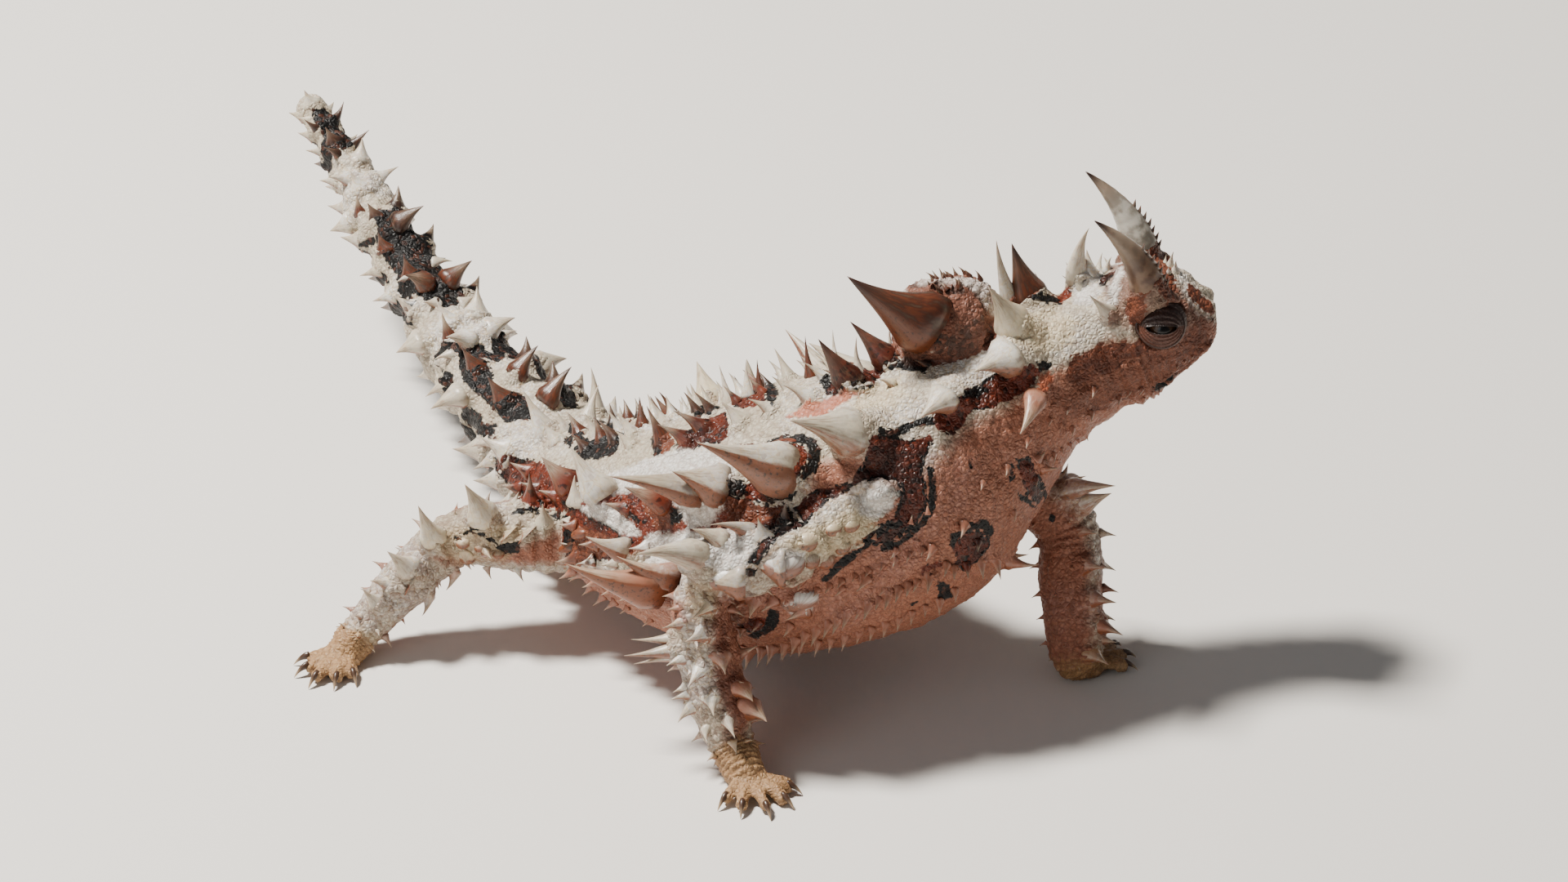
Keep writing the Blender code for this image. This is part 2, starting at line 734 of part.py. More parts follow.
def make_eye(side, label, head):
    """An eyeball in its socket, behind lids that leave a slit."""
    back, out, above, radius = EYE
    centre = head_point(back, out * side, above)
    lids = ball("lids", centre, radius + GAP + LID_THICK, 14, 8)
    fuse(head, [lids])
    socket = ball("socket", centre, radius + GAP, 10, 6)
    wide, tall = LID_SLIT
    outward = unit(head_point(0.0, side, 0.0) - np.array(SNOUT))
    along = unit(head_point(-1.0, 0.0, 0.0) - np.array(SNOUT))
    corners = []
    for a in np.linspace(0.0, 2 * math.pi, 12, endpoint=False):
        corners.append(along * math.cos(a) * wide / 2 + np.array([0.0, 0.0, math.sin(a) * tall / 2]))
    slit = loft("slit", [
        [centre + outward * 0.6 * radius + c for c in corners],
        [centre + outward * 2.4 * radius + c * 1.3 for c in corners],
    ])
    cut(head, [socket, slit])
    return ball(f"eye_{label}", centre, radius, 12, 8)


def make_horn(side, label):
    """A horn over the eye, seated on the head and curving back."""
    back, out, above = HORN_ROOT
    root = head_point(back, out * side, above)
    reach_back, reach_out, reach_up = HORN_REACH
    tip = head_point(back + reach_back, (out + reach_out) * side, above + reach_up)
    bend = head_point(back + 0.12 * reach_back, (out + 0.5 * reach_out) * side, above + 0.55 * reach_up)
    across = unit(head_point(0.0, side, 0.0) - np.array(SNOUT))
    rings = []
    for share, girth in ((0.0, 1.1), (0.3, 0.95), (0.55, 0.62), (0.78, 0.34)):
        here = (1 - share) ** 2 * root + 2 * share * (1 - share) * bend + share ** 2 * tip
        way = unit((1 - share) * (bend - root) + share * (tip - bend))
        level = unit(across - way * float(across @ way))
        rings.append(ring_round(here, way, level, HORN_RADIUS * girth, 8))
    rings.append([tip])
    horn = loft(f"brow_horn_{label}", rings)
    return cut(horn, [body_piece("head_room", 11.5, 17.5, GAP, 2 * BODY_SIDES)])


def make_knob(chance):
    """The knob on the nape, with its two large thorns and the small ones on its crest."""
    here, middle = BodyPoint(KNOB_STATION), midline(KNOB_STATION)
    long, wide, tall = KNOB_SIZE
    up = unit(here.outward(middle) + np.array([0.0, 0.0, 1.0]))
    ahead = unit(here.ahead - up * float(here.ahead @ up))
    left = np.cross(up, ahead)
    centre = here.skin(middle) + up * KNOB_LIFT
    rings = []
    for share in (-1.0, -0.86, -0.5, 0.0, 0.5, 0.86, 1.0):
        girth = math.sqrt(1.0 - share * share)
        spot = centre + ahead * long * share
        if girth < 0.01:
            rings.append([spot])
            continue
        turns = [2 * math.pi * k / 14 for k in range(14)]
        rings.append([
            spot + girth * (left * wide * math.cos(a)
                            + up * (tall if math.sin(a) > 0 else KNOB_ROOT) * math.sin(a))
            for a in turns
        ])
    knob = loft("nape_knob", rings)
    thorns = []
    for side, label in ((1.0, "left"), (-1.0, "right")):
        back, out, rise = KNOB_THORNS[label]
        reach = left * side * out + up * rise - ahead * back
        spot = centre - ahead * 0.4 * long + left * side * 0.4 * wide + up * 0.3 * tall
        outward = unit(reach + up * 2.0 + left * side)
        lean = unit(reach) - outward
        length = np.linalg.norm(reach) + 1.0
        thorns.append(thorn(spot, outward, lean, length, KNOB_THORN_RADIUS, 7, GREAT_WAIST))
    for k in range(5):
        share = 0.72 - 0.34 * k
        spot = centre + ahead * long * share + up * tall * 0.92 * math.sqrt(1.0 - share * share)
        length = 2.6 + chance.uniform(-0.5, 0.5)
        thorns.append(thorn(spot, up, -ahead * 0.4, length, 0.9, 4))
    fuse(knob, thorns)
    return cut(knob, [body_piece("neck_room", 8.6, 12.6, GAP, 2 * BODY_SIDES)])


def carve_head(head):
    """The line of the mouth and the nostrils."""
    back, out, above, radius = NOSTRIL
    cutters = []
    for side in (1.0, -1.0):
        cutters.append(ball("nostril", head_point(back, out * side, above), radius, 8, 6))
    half = MOUTH_OPENING / 2
    upper = [head_point(b, 0.0, z + half) for b, z in MOUTH_LINE]
    lower = [head_point(b, 0.0, z - half) for b, z in reversed(MOUTH_LINE)]
    outline = upper + lower
    across = unit(head_point(0.0, 1.0, 0.0) - np.array(SNOUT))
    sides = [[p + across * 12.0 * side for p in outline] for side in (-1.0, 1.0)]
    cutters.append(loft("mouth", sides))
    return cut(head, cutters)


def settle(objects):
    """Moves the model so that it stands on the origin's plane, over the middle of its box."""
    spots = [obj.matrix_world @ Vector(corner) for obj in objects for corner in obj.bound_box]
    low = Vector([min(p[i] for p in spots) for i in range(3)])
    high = Vector([max(p[i] for p in spots) for i in range(3)])
    shift = Vector(((low.x + high.x) / 2, (low.y + high.y) / 2, low.z))
    for obj in objects:
        obj.data.transform(Matrix.Translation(-shift))


def main():
    """Builds every piece."""
    for obj in list(bpy.data.objects):
        bpy.data.objects.remove(obj)
    chance = random.Random(SEED)
    body = make_body(chance)
    pieces = []
    for side, label in ((1.0, "left"), (-1.0, "right")):
        pieces.append(finish(make_eye(side, label, body["head"]), DARK, 0.15))
        pieces.append(finish(make_horn(side, label), HORN, 0.4))
    carve_head(body["head"])
    for obj in body.values():
        pieces.append(finish(obj, PALE))
    for name in LIMBS:
        for obj in make_limb(name, chance):
            pieces.append(finish(obj, PALE))
    pieces.append(finish(make_knob(chance), RUST))
    settle(pieces)


main()
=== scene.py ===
# %% [markdown]
# # A life-size thorny devil
# The animal is a small desert lizard, 15 cm long, walking with its head and tail held high. Its skin is
# made of tiny pebble scales, with a cone like a thorn on almost every larger scale.
# The solids of the CAD model give its pose and size. This lesson puts one living skin over them, and then
# sets thorns, lids, eyes, horns and claws on that skin. All numbers in the tables are millimetres and
# degrees, in the frame that the solids were drawn in.

# %% Load the frame
import itertools
import json
import math

import bpy
import numpy as np
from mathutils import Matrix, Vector
from mathutils.bvhtree import BVHTree
from mathutils.kdtree import KDTree

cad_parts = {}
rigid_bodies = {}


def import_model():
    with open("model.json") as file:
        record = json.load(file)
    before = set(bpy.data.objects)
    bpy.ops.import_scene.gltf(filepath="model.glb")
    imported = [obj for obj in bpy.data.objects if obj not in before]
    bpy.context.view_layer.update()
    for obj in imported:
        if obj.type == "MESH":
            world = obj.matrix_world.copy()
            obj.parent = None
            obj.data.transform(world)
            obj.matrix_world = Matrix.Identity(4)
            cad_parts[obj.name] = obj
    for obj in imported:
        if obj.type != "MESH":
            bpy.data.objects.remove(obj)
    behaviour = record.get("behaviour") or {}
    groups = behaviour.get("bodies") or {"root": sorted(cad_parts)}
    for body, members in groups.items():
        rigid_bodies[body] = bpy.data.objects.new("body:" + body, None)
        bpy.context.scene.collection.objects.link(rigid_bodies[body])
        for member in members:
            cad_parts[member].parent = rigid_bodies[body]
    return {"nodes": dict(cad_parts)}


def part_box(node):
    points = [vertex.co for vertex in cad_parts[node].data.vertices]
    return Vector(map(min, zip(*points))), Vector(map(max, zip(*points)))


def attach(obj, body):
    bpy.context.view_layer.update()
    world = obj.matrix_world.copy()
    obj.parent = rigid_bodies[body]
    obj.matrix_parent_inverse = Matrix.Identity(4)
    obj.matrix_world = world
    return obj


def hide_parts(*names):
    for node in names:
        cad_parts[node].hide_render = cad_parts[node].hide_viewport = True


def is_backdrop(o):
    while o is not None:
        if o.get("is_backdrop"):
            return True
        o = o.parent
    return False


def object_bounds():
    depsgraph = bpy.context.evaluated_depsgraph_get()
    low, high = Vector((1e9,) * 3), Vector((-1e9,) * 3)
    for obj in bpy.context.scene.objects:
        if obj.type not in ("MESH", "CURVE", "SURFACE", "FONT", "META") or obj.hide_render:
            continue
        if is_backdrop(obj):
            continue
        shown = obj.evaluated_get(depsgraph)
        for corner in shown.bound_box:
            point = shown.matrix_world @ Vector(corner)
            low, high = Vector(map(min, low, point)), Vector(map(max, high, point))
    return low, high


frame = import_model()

cad_low, cad_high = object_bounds()
MM = 0.001
SEED = 11
chance = np.random.default_rng(SEED)


def box_size(low, high):
    """The three sides of a box in millimetres."""
    return [round((h - l) / MM, 1) for l, h in zip(low, high)]


print("solids:", len(frame["nodes"]), "in a box of", box_size(cad_low, cad_high))

# %% [markdown]
# ## The lines of the animal
# The solids were lofted along one bent line from the tail's end to the snout and along one line for each
# leg. The skin follows the same lines, so the same stations are repeated here: a centre, and how far the
# body reaches from it to the side, up and down.

# %% Stations of the body and the legs
SNOUT = (56.4, 25.2, 47.4)
HEAD_TURN = 28.0
TRUNK = [
    (-90.2, 53.4, 32.8, 1.5, 1.5, 1.5),
    (-80.2, 46.7, 27.2, 2.5, 2.4, 2.4),
    (-65.6, 35.6, 21.0, 3.8, 3.5, 3.5),
    (-48.8, 22.7, 16.6, 5.3, 4.8, 4.8),
    (-29.0, 8.8, 14.2, 8.3, 7.0, 6.6),
    (-18.5, 1.6, 15.4, 11.6, 9.6, 9.2),
    (-7.5, -3.0, 17.8, 15.4, 13.0, 12.8),
    (3.4, -5.6, 20.6, 17.4, 15.8, 15.8),
    (14.0, -5.0, 24.5, 17.2, 17.6, 17.4),
    (24.6, -1.2, 29.4, 14.8, 17.2, 17.2),
    (31.0, 4.6, 35.4, 11.2, 13.8, 14.2),
    (36.6, 11.0, 41.0, 8.4, 9.6, 11.0),
]
HEAD = [
    (15.2, 2.4, 7.5, 8.0, 9.6),
    (11.6, 1.0, 7.3, 8.8, 9.8),
    (8.6, 0.2, 6.9, 9.0, 9.2),
    (5.8, 0.0, 6.0, 7.8, 7.4),
    (3.2, 0.0, 4.8, 5.8, 5.4),
    (1.2, 0.0, 3.4, 3.4, 3.1),
    (0.3, 0.0, 1.8, 1.6, 1.7),
]
LIMBS = {
    "arm_right": [(27.4, -7.0, 33.4, 5.0), (19.2, -19.8, 30.6, 4.0), (8.6, -25.8, 23.8, 3.6),
                  (9.4, -27.6, 14.0, 3.9), (13.4, -30.0, 4.4, 3.1), (17.2, -32.8, 1.4, 2.4)],
    "arm_left": [(27.0, 7.0, 29.0, 5.2), (33.8, 12.6, 24.6, 4.4), (39.8, 15.2, 18.6, 4.1),
                 (42.2, 12.4, 11.0, 4.1), (44.0, 9.6, 3.8, 3.4), (45.2, 10.6, 1.4, 2.4)],
    "leg_right": [(-15.0, -3.0, 14.4, 6.2), (-25.2, -11.0, 14.8, 4.8), (-33.2, -15.2, 14.2, 3.6),
                  (-38.2, -20.0, 9.0, 3.3), (-41.8, -25.0, 3.6, 2.6), (-43.0, -28.0, 1.4, 2.2)],
    "leg_left": [(-14.0, 6.0, 14.4, 6.2), (-13.0, 17.0, 15.6, 4.8), (-11.4, 25.2, 14.2, 3.6),
                 (-16.2, 29.4, 9.0, 3.3), (-20.4, 32.2, 3.6, 2.6), (-18.6, 35.4, 1.4, 2.2)],
}
TOES = {"arm_right": (8.0, -98.0, 7.6), "arm_left": (28.0, 128.0, 7.0),
        "leg_right": (-150.0, -48.0, 6.8), "leg_left": (24.0, 128.0, 6.8)}
MIDLINE = ((4.0, 8.0, 10.0, 12.0, 14.0), (0.0, 14.0, 20.0, 16.0, 0.0))
TAIL_END = 4.2
SKYWARD = np.array([0.0, 0.0, 1.0])
turn = math.radians(HEAD_TURN)
HEAD_AXES = np.array([[math.cos(turn), math.sin(turn), 0.0],
                      [-math.sin(turn), math.cos(turn), 0.0], SKYWARD])


def unit(v):
    """The vectors at length one."""
    return v / np.linalg.norm(v, axis=-1, keepdims=True)


def head_point(back, side, above):
    """A point placed from the snout, along the head's own directions: ahead, left and up."""
    return np.array(SNOUT) - HEAD_AXES[0] * back + HEAD_AXES[1] * side + HEAD_AXES[2] * above


def midline(t):
    """The angle of the back's middle line, which is rolled a little to the left."""
    return np.interp(t, *MIDLINE)


def from_back(t, angle):
    """How many degrees a place on the body lies from the back's middle line, to either side."""
    return np.abs((angle - midline(t) + 180.0) % 360.0 - 180.0)


body_rows = np.array(TRUNK + [(*head_point(b, 0.0, -drop), w, u, d) for b, drop, w, u, d in HEAD])
print("body stations:", len(body_rows), "legs:", ", ".join(LIMBS))

# %% [markdown]
# ## One way to find a place on the skin
# A station and an angle name a place on a tube, as a street and a house number do. The body counts its
# angle from the back to the left, a leg from its outer side. Everything later, from a thorn to a stripe,
# is placed by these two numbers, so it stays on the animal from every side.

# %% The tubes of the body and the legs
def curve(rows, t):
    """Points of the smooth curve through the rows, at stations t."""
    t = np.atleast_1d(np.asarray(t, float))
    last = len(rows) - 2
    i = np.clip(np.floor(t).astype(int), 0, last)
    u = (t - i)[:, None]
    p1, p2 = rows[i], rows[i + 1]
    p0 = np.where((i > 0)[:, None], rows[np.maximum(i - 1, 0)], 2 * p1 - p2)
    p3 = np.where((i < last)[:, None], rows[np.minimum(i + 2, last + 1)], 2 * p2 - p1)
    return 0.5 * (2 * p1 + (p2 - p0) * u + (2 * p0 - 5 * p1 + 4 * p2 - p3) * u * u
                  + (3 * p1 - p0 - 3 * p2 + p3) * u ** 3)


STEP, THINNEST = 0.02, 0.4


def upright(reach, rise):
    """The reach upwards where rise is above zero, and the reach downwards elsewhere."""
    return np.where(rise > 0, reach[:, 1], reach[:, 2])


class Tube:
    """The body or a leg: where its skin lies, and which way it faces."""

    def __init__(self, name, rows, away=None):
        self.name, self.rows, self.away, self.end = name, rows, away, len(rows) - 1.0

    def section(self, t):
        """Centre, the way ahead, the sideways and upward directions, and the reach of the skin."""
        row = curve(self.rows, t)
        after, before = curve(self.rows, np.asarray(t) + STEP), curve(self.rows, np.asarray(t) - STEP)
        ahead = unit(after[:, :3] - before[:, :3])
        if self.away is None:
            side = unit(np.cross(SKYWARD, ahead))
            top = np.cross(ahead, side)
        else:
            top = unit(self.away - ahead * (ahead @ self.away)[:, None])
            side = np.cross(ahead, top)
        return row[:, :3], ahead, side, top, np.maximum(row[:, 3:], THINNEST)

    def skin(self, t, angle):
        """Points on the skin."""
        centre, _, side, top, reach = self.section(t)
        s, c = np.sin(np.radians(angle)), np.cos(np.radians(angle))
        return centre + side * (reach[:, 0] * s)[:, None] + top * (upright(reach, c) * c)[:, None]

    def normal(self, t, angle):
        """The way the skin faces."""
        _, _, side, top, reach = self.section(t)
        s, c = np.sin(np.radians(angle)), np.cos(np.radians(angle))
        return unit(side * (s / reach[:, 0])[:, None] + top * (c / upright(reach, c))[:, None])


def limb_tube(name):
    """A leg's tube; its angle 0 faces away from the body's middle line."""
    rows = np.array([(x, y, z, r, r, r) for x, y, z, r in LIMBS[name]])
    away = rows[2][:3] - rows[0][:3]
    return Tube(name, rows, np.array([0.25, math.copysign(1.0, away[1]), 0.5]))


TUBES = [Tube("body", body_rows)] + [limb_tube(name) for name in LIMBS]
TUBE = {tube.name: tube for tube in TUBES}
BODY, HIND_RIGHT, HIND_LEFT = 0, 3, 4
body = TUBES[BODY]
print("tail's end at", body.skin(0.0, 0.0)[0].round(1), "snout at", body.skin(body.end, 0.0)[0].round(1))

# %% [markdown]
# ## The photograph's viewpoint
# The camera stands at the animal's right and looks down on it. Its place was found by matching the feet,
# the snout and the tail's end. The solids were moved to stand over the origin, and the right eye shows by
# how much, because its place from the snout is known.

# %% The camera
AZIMUTH, ELEVATION, DISTANCE, FOCUS = 25.0, 30.0, 1000.0, 9500.0
TARGET = np.array([5.7, 2.7, 29.2])
WIDTH, HEIGHT, SENSOR = 1920, 1080, 36.0
EYE = (7.9, 6.2, 2.9, 2.1)
eye_low, eye_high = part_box("eye_right")
SHIFT = np.array((eye_low + eye_high) / 2) / MM - head_point(EYE[0], -EYE[1], EYE[2])
az, el = math.radians(AZIMUTH), math.radians(ELEVATION)
BACK = np.array([math.sin(az) * math.cos(el), -math.cos(az) * math.cos(el), math.sin(el)])
RIGHT = np.array([math.cos(az), math.sin(az), 0.0])
UP = np.cross(BACK, RIGHT)
EYEPOINT = TARGET + BACK * DISTANCE


def placed(points):
    """Points of the drawing's frame in the model's frame, in metres."""
    return (np.asarray(points) + SHIFT) * MM


def sight(x, y):
    """The way from the camera through a pixel of the photograph."""
    return unit(RIGHT * (x - WIDTH / 2) - UP * (y - HEIGHT / 2) - BACK * FOCUS)


camera_data = bpy.data.cameras.new("camera")
camera = bpy.data.objects.new("camera", camera_data)
bpy.context.scene.collection.objects.link(camera)
camera_data.sensor_width = SENSOR
camera_data.lens = FOCUS / WIDTH * SENSOR
camera_data.clip_start, camera_data.clip_end = 0.05, 10.0
camera.location = Vector(placed(EYEPOINT))
camera.rotation_mode = "QUATERNION"
camera.rotation_quaternion = Vector(-BACK).to_track_quat("-Z", "Y")
bpy.context.scene.camera = camera
print("shift of the solids:", SHIFT.round(3), "mm")

# %% [markdown]
# ## Clay
# Every form starts as rings of points joined by faces. A small class gathers many such forms and makes
# one mesh of them, because one mesh of ten thousand thorns is far lighter than ten thousand objects.

# %% Gathering forms into one mesh
def side_faces(n, k):
    """The faces between n rings of k points."""
    return [np.array([r * k + i, r * k + (i + 1) % k, (r + 1) * k + (i + 1) % k, (r + 1) * k + i])
            for r in range(n - 1) for i in range(k)]


FACES_KEPT = {}


def tube_faces(n, k):
    """The faces of a closed tube of n rings of k points, made once for each size."""
    if (n, k) not in FACES_KEPT:
        faces = side_faces(n, k)
        for i in range(k):
            j = (i + 1) % k
            faces.append(np.array([n * k, j, i]))
            faces.append(np.array([n * k + 1, (n - 1) * k + i, (n - 1) * k + j]))
        FACES_KEPT[n, k] = faces
    return FACES_KEPT[n, k]


def give(mesh, name, values):
    """Stores one number for each point of a mesh under a name."""
    if name not in mesh.attributes:
        mesh.attributes.new(name, "FLOAT", "POINT")
    mesh.attributes[name].data.foreach_set("value", values.astype(np.float32))


class Clay:
    """Points and faces of closed forms, with named values for each point."""

    def __init__(self):
        self.points, self.faces, self.values, self.count = [], [], {}, 0

    def add(self, points, faces, **values):
        """Adds a form; each value is one number for the form or one for each point."""
        self.points.append(points)
        self.faces.append([f + self.count for f in faces])
        for name, value in values.items():
            self.values.setdefault(name, []).append(np.broadcast_to(np.asarray(value, float), len(points)))
        self.count += len(points)

    def tube(self, rings, **values):
        """Adds a tube through rings of points, closed by a middle point at both ends."""
        rings = np.asarray(rings)
        n, k, _ = rings.shape
        points = np.concatenate([rings.reshape(-1, 3), rings[:1].mean(1), rings[-1:].mean(1)])
        self.add(points, tube_faces(n, k), **values)

    def arrays(self):
        """All points, and all faces as lists."""
        return np.concatenate(self.points), [f.tolist() for group in self.faces for f in group]

    def mesh(self, name):
        """A Blender mesh of all forms, with the values as attributes."""
        points, faces = self.arrays()
        mesh = bpy.data.meshes.new(name)
        mesh.from_pydata(placed(points), [], faces)
        for key, groups in self.values.items():
            give(mesh, key, np.concatenate(groups))
        mesh.shade_smooth()
        return mesh


def put(name, mesh, slot, *nodes):
    """Makes the object of a piece, ties it to the animal and hides the solids it stands for."""
    obj = bpy.data.objects.new(name, mesh)
    bpy.context.scene.collection.objects.link(obj)
    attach(obj, "root")
    if nodes:
        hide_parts(*nodes)
    return obj


# %% [markdown]
# ## The bare body
# Body, legs, palms and toes are separate closed forms that run through each other. Later one voxel
# remesh turns them into a single surface, the way a sculptor joins lumps of clay.

# %% Body, legs and feet
BODY_GRID, LEG_GRID = (331, 60), (81, 30)
TOE_COUNT, TOE_RADIUS, TOE_GRID, PAD = 5, 0.86, (15, 12), (2.6, 2.4, 2.0)
POLE = 0.04


def circle(count):
    """Angles evenly round a circle, in degrees."""
    return np.arange(count) * 360.0 / count


def hoop(across, over, count):
    """Points round a circle with radius one, in the plane of two directions."""
    a = np.radians(circle(count))[:, None]
    return across * np.cos(a) + over * np.sin(a)


def ball(centre, reach, axes=np.eye(3), segments=24, rings=14):
    """Rings of a flattened ball with half axes along three directions."""
    loops, b = [], np.radians(circle(segments))
    for a in np.linspace(POLE, math.pi - POLE, rings):
        local = np.stack([math.sin(a) * np.cos(b) * reach[0], math.sin(a) * np.sin(b) * reach[1],
                          np.full(segments, -math.cos(a) * reach[2])], 1)
        loops.append(np.asarray(centre) + local @ axes)
    return np.array(loops)


flesh = Clay()
for tube in TUBES:
    along, around = BODY_GRID if tube is body else LEG_GRID
    flesh.tube([tube.skin(np.full(around, t), circle(around)) for t in np.linspace(0.0, tube.end, along)])


toe_tips = []
for name, (first, last, reach) in TOES.items():
    palm = TUBE[name].rows[5][:3]
    flesh.tube(ball(palm, PAD))
    for k in range(TOE_COUNT):
        share = k / (TOE_COUNT - 1)
        turn = math.radians(first + (last - first) * share)
        way = np.array([math.cos(turn), math.sin(turn), 0.0])
        side = np.array([-way[1], way[0], 0.0])
        length = reach * (1.0 - 0.22 * abs(2.0 * share - 0.9)) - 1.2
        rings = []
        for s in np.linspace(0.0, 1.0, TOE_GRID[0]):
            height = 1.3 + 0.35 * math.sin(3.1 * s) - 0.35 * s
            girth = TOE_RADIUS * (1.12 - 0.18 * s + 0.07 * math.cos(s * 26.0)) * (1.0 if s < 0.95 else 0.75)
            centre = palm * (1, 1, 0) + way * (0.8 + length * s) + SKYWARD * height
            rings.append(centre + hoop(side, np.cross(way, side), TOE_GRID[1]) * girth)
        flesh.tube(rings)
        toe_tips.append((centre, way, side))
base_points, base_faces = flesh.arrays()
base_tree = BVHTree.FromPolygons([Vector(p) for p in base_points], base_faces)
print("bare body:", len(base_points), "points,", len(toe_tips), "toes")

# %% [markdown]
# ## Where a point belongs
# To paint a stripe or set a thorn, a point in space has to be turned back into a station and an angle.
# A tree of sample points finds the nearest place, and one step along the surface makes it exact.

# %% From a point to its place on the skin
BODY_SAMPLING, LEG_SAMPLING = (0.03, 5.0), (0.05, 10.0)
STATION_STEP, ANGLE_STEP, FURTHEST = 0.01, 1.0, (0.05, 10.0)
RAY = 2000.0
groups = []
for index, tube in enumerate(TUBES):
    t_step, a_step = BODY_SAMPLING if index == BODY else LEG_SAMPLING
    ts, angles = np.arange(0.0, tube.end + 0.001, t_step), np.arange(-180.0, 180.0, a_step)
    t_all, a_all = [g.ravel() for g in np.meshgrid(ts, angles, indexing="ij")]
    groups.append((tube.skin(t_all, a_all), np.full(len(t_all), index), t_all, a_all))
samples, sample_tube, sample_t, sample_a = [np.concatenate(group) for group in zip(*groups)]
sample_tree = KDTree(len(samples))
for i, p in enumerate(samples):
    sample_tree.insert(p, i)
sample_tree.balance()


def places(points):
    """The tube, the station and the angle of the nearest skin for each point."""
    near = np.array([sample_tree.find(p)[1] for p in points])
    which, t, a = sample_tube[near], sample_t[near].copy(), sample_a[near].copy()
    for index, tube in enumerate(TUBES):
        mine = np.flatnonzero(which == index)
        if not len(mine):
            continue
        here = tube.skin(t[mine], a[mine])
        along = (tube.skin(t[mine] + STATION_STEP, a[mine]) - here) / STATION_STEP
        round_ = (tube.skin(t[mine], a[mine] + ANGLE_STEP) - here) / ANGLE_STEP
        far_t, far_a = [np.clip(((points[mine] - here) * way).sum(1) / (way ** 2).sum(1), -limit, limit)
                        for way, limit in zip((along, round_), FURTHEST)]
        t[mine] = np.clip(t[mine] + far_t, 0.0, tube.end)
        a[mine] += far_a
    return which, t, a


def asked(question, which, t, a):
    """What the tubes answer for their own places."""
    out = np.zeros((len(t), 3))
    for index, tube in enumerate(TUBES):
        mine = which == index
        if mine.any():
            out[mine] = question(tube, t[mine], a[mine])
    return out


def feet_of(*where):
    """The points on the bare skin at these places."""
    return asked(Tube.skin, *where)


def normals_of(*where):
    """The way the bare skin faces at these places."""
    return asked(Tube.normal, *where)


def cast(tree, x, y):
    """Where the sight through a pixel meets a surface, or nothing."""
    hit = tree.ray_cast(Vector(EYEPOINT), Vector(sight(x, y)), RAY)[0]
    return None if hit is None else np.array(hit)


print("samples of the skin:", len(samples))

# %% [markdown]
# ## The plan of the thorns
# The thorns of the side that faces the camera are set where they show: a row holds the pixel of the
# thorn's foot, the pixel of its tip, the radius of its foot, its colour and how dark its tip is. A row of
# five numbers is a pale thorn. The sight through the foot's pixel gives the place on the skin. The tip lies
# on the sight through its own pixel, at the depth where the thorn points most nearly away from the skin and
# towards the tail. The hidden side gets the mirror image, a little varied.

# %% Thorns of the side in view
# The colours two, ivory and horn also set how much of a thorn's downward side gets painted shade.
GRAND = [
    ("shoulder", 1038, 533, 966, 516, 3.0, "pale", 0.2),
    ("shoulder blade", 950, 577, 853, 542, 3.3, "two", -0.3),
    ("rib", 877, 596, 823, 577, 2.7, "horn", 0.2),
    ("loin", 845, 602, 746, 583, 2.1, "horn", 0.1),
    ("loin low", 812, 615, 764, 596, 1.7, "rust", 0.4),
    ("croup", 735, 600, 699, 547, 2.3, "pale", 0.1),
    ("hip", 697, 592, 663, 559, 1.9, "rust", 0.4),
    ("side", 762, 672, 717, 657, 1.6, "horn", 0.1),
    ("upper flank", 850, 684, 779, 679, 2.4, "ivory", 0.1),
    ("lower flank", 800, 713, 692, 690, 2.9, "two", -0.1),
    ("flank", 820, 703, 755, 681, 2.0, "two", 0.1),
    ("rib low", 880, 663, 848, 648, 1.7, "pale", 0.1),
    ("arm scale 1", 908, 710, 862, 710, 2.3, "horn", 0.0),
    ("arm scale 2", 958, 692, 925, 693, 2.7, "horn", 0.0),
    ("neck plate", 1232, 441, 1193, 455, 2.6, "pale", 0.1),
    ("neck plate behind", 1156, 490, 1127, 511, 2.0, "pale", 0.0),
    ("neck side", 1266, 490, 1249, 532, 1.5, "ivory", 0.0),
    ("neck crest", 1240, 398, 1211, 352, 2.4, "pale", 0.1),
    ("nape", 1322, 335, 1334, 279, 1.5, "pale", 0.2),
    ("nape low", 1336, 332, 1331, 305, 1.1, "pale", 0.1),
    ("far crest", 1262, 362, 1239, 298, 2.3, "brown", 0.8),
    ("far crest pale", 1238, 365, 1220, 294, 1.2, "pale", 0.1),
    ("crest 2", 1040, 464, 1004, 415, 1.9, "rust", 0.8),
    ("crest 5", 1085, 439, 1041, 394, 2.0, "rust", 0.8),
    ("tail right 1", 490, 275, 519, 252, 1.7, "dark", 0.3),
    ("tail right 2", 550, 345, 578, 319, 1.7, "brown", 0.6),
    ("tail right 3", 600, 405, 631, 389, 1.7, "pale", 0.2),
    ("tail right 4", 635, 458, 659, 423, 1.6, "brown", 0.7),
    ("tail right 5", 672, 490, 700, 449, 1.7, "brown", 0.7),
    ("tail left 1", 425, 275, 404, 283, 1.5, "pale", 0.1),
    ("tail left 2", 515, 420, 485, 432, 1.8, "pale", 0.1),
    ("tail left 3", 565, 485, 527, 501, 1.8, "pale", 0.1),
    ("thigh 1", 590, 632, 569, 593, 2.0, "pale", 0.1),
    ("knee", 530, 657, 512, 619, 1.6, "pale", 0.1),
    ("shank 1", 500, 695, 474, 675, 1.6, "pale", 0.1),
    ("forearm 1", 906, 845, 922, 859, 1.5, "pale", 0.0),
    ("forearm 2", 915, 868, 939, 884, 1.8, "pale", 0.0),
    ("far elbow 1", 1312, 601, 1366, 595, 1.5, "pale", 0.0),
    ("far elbow 2", 1325, 617, 1361, 604, 1.4, "pale", 0.0),
]
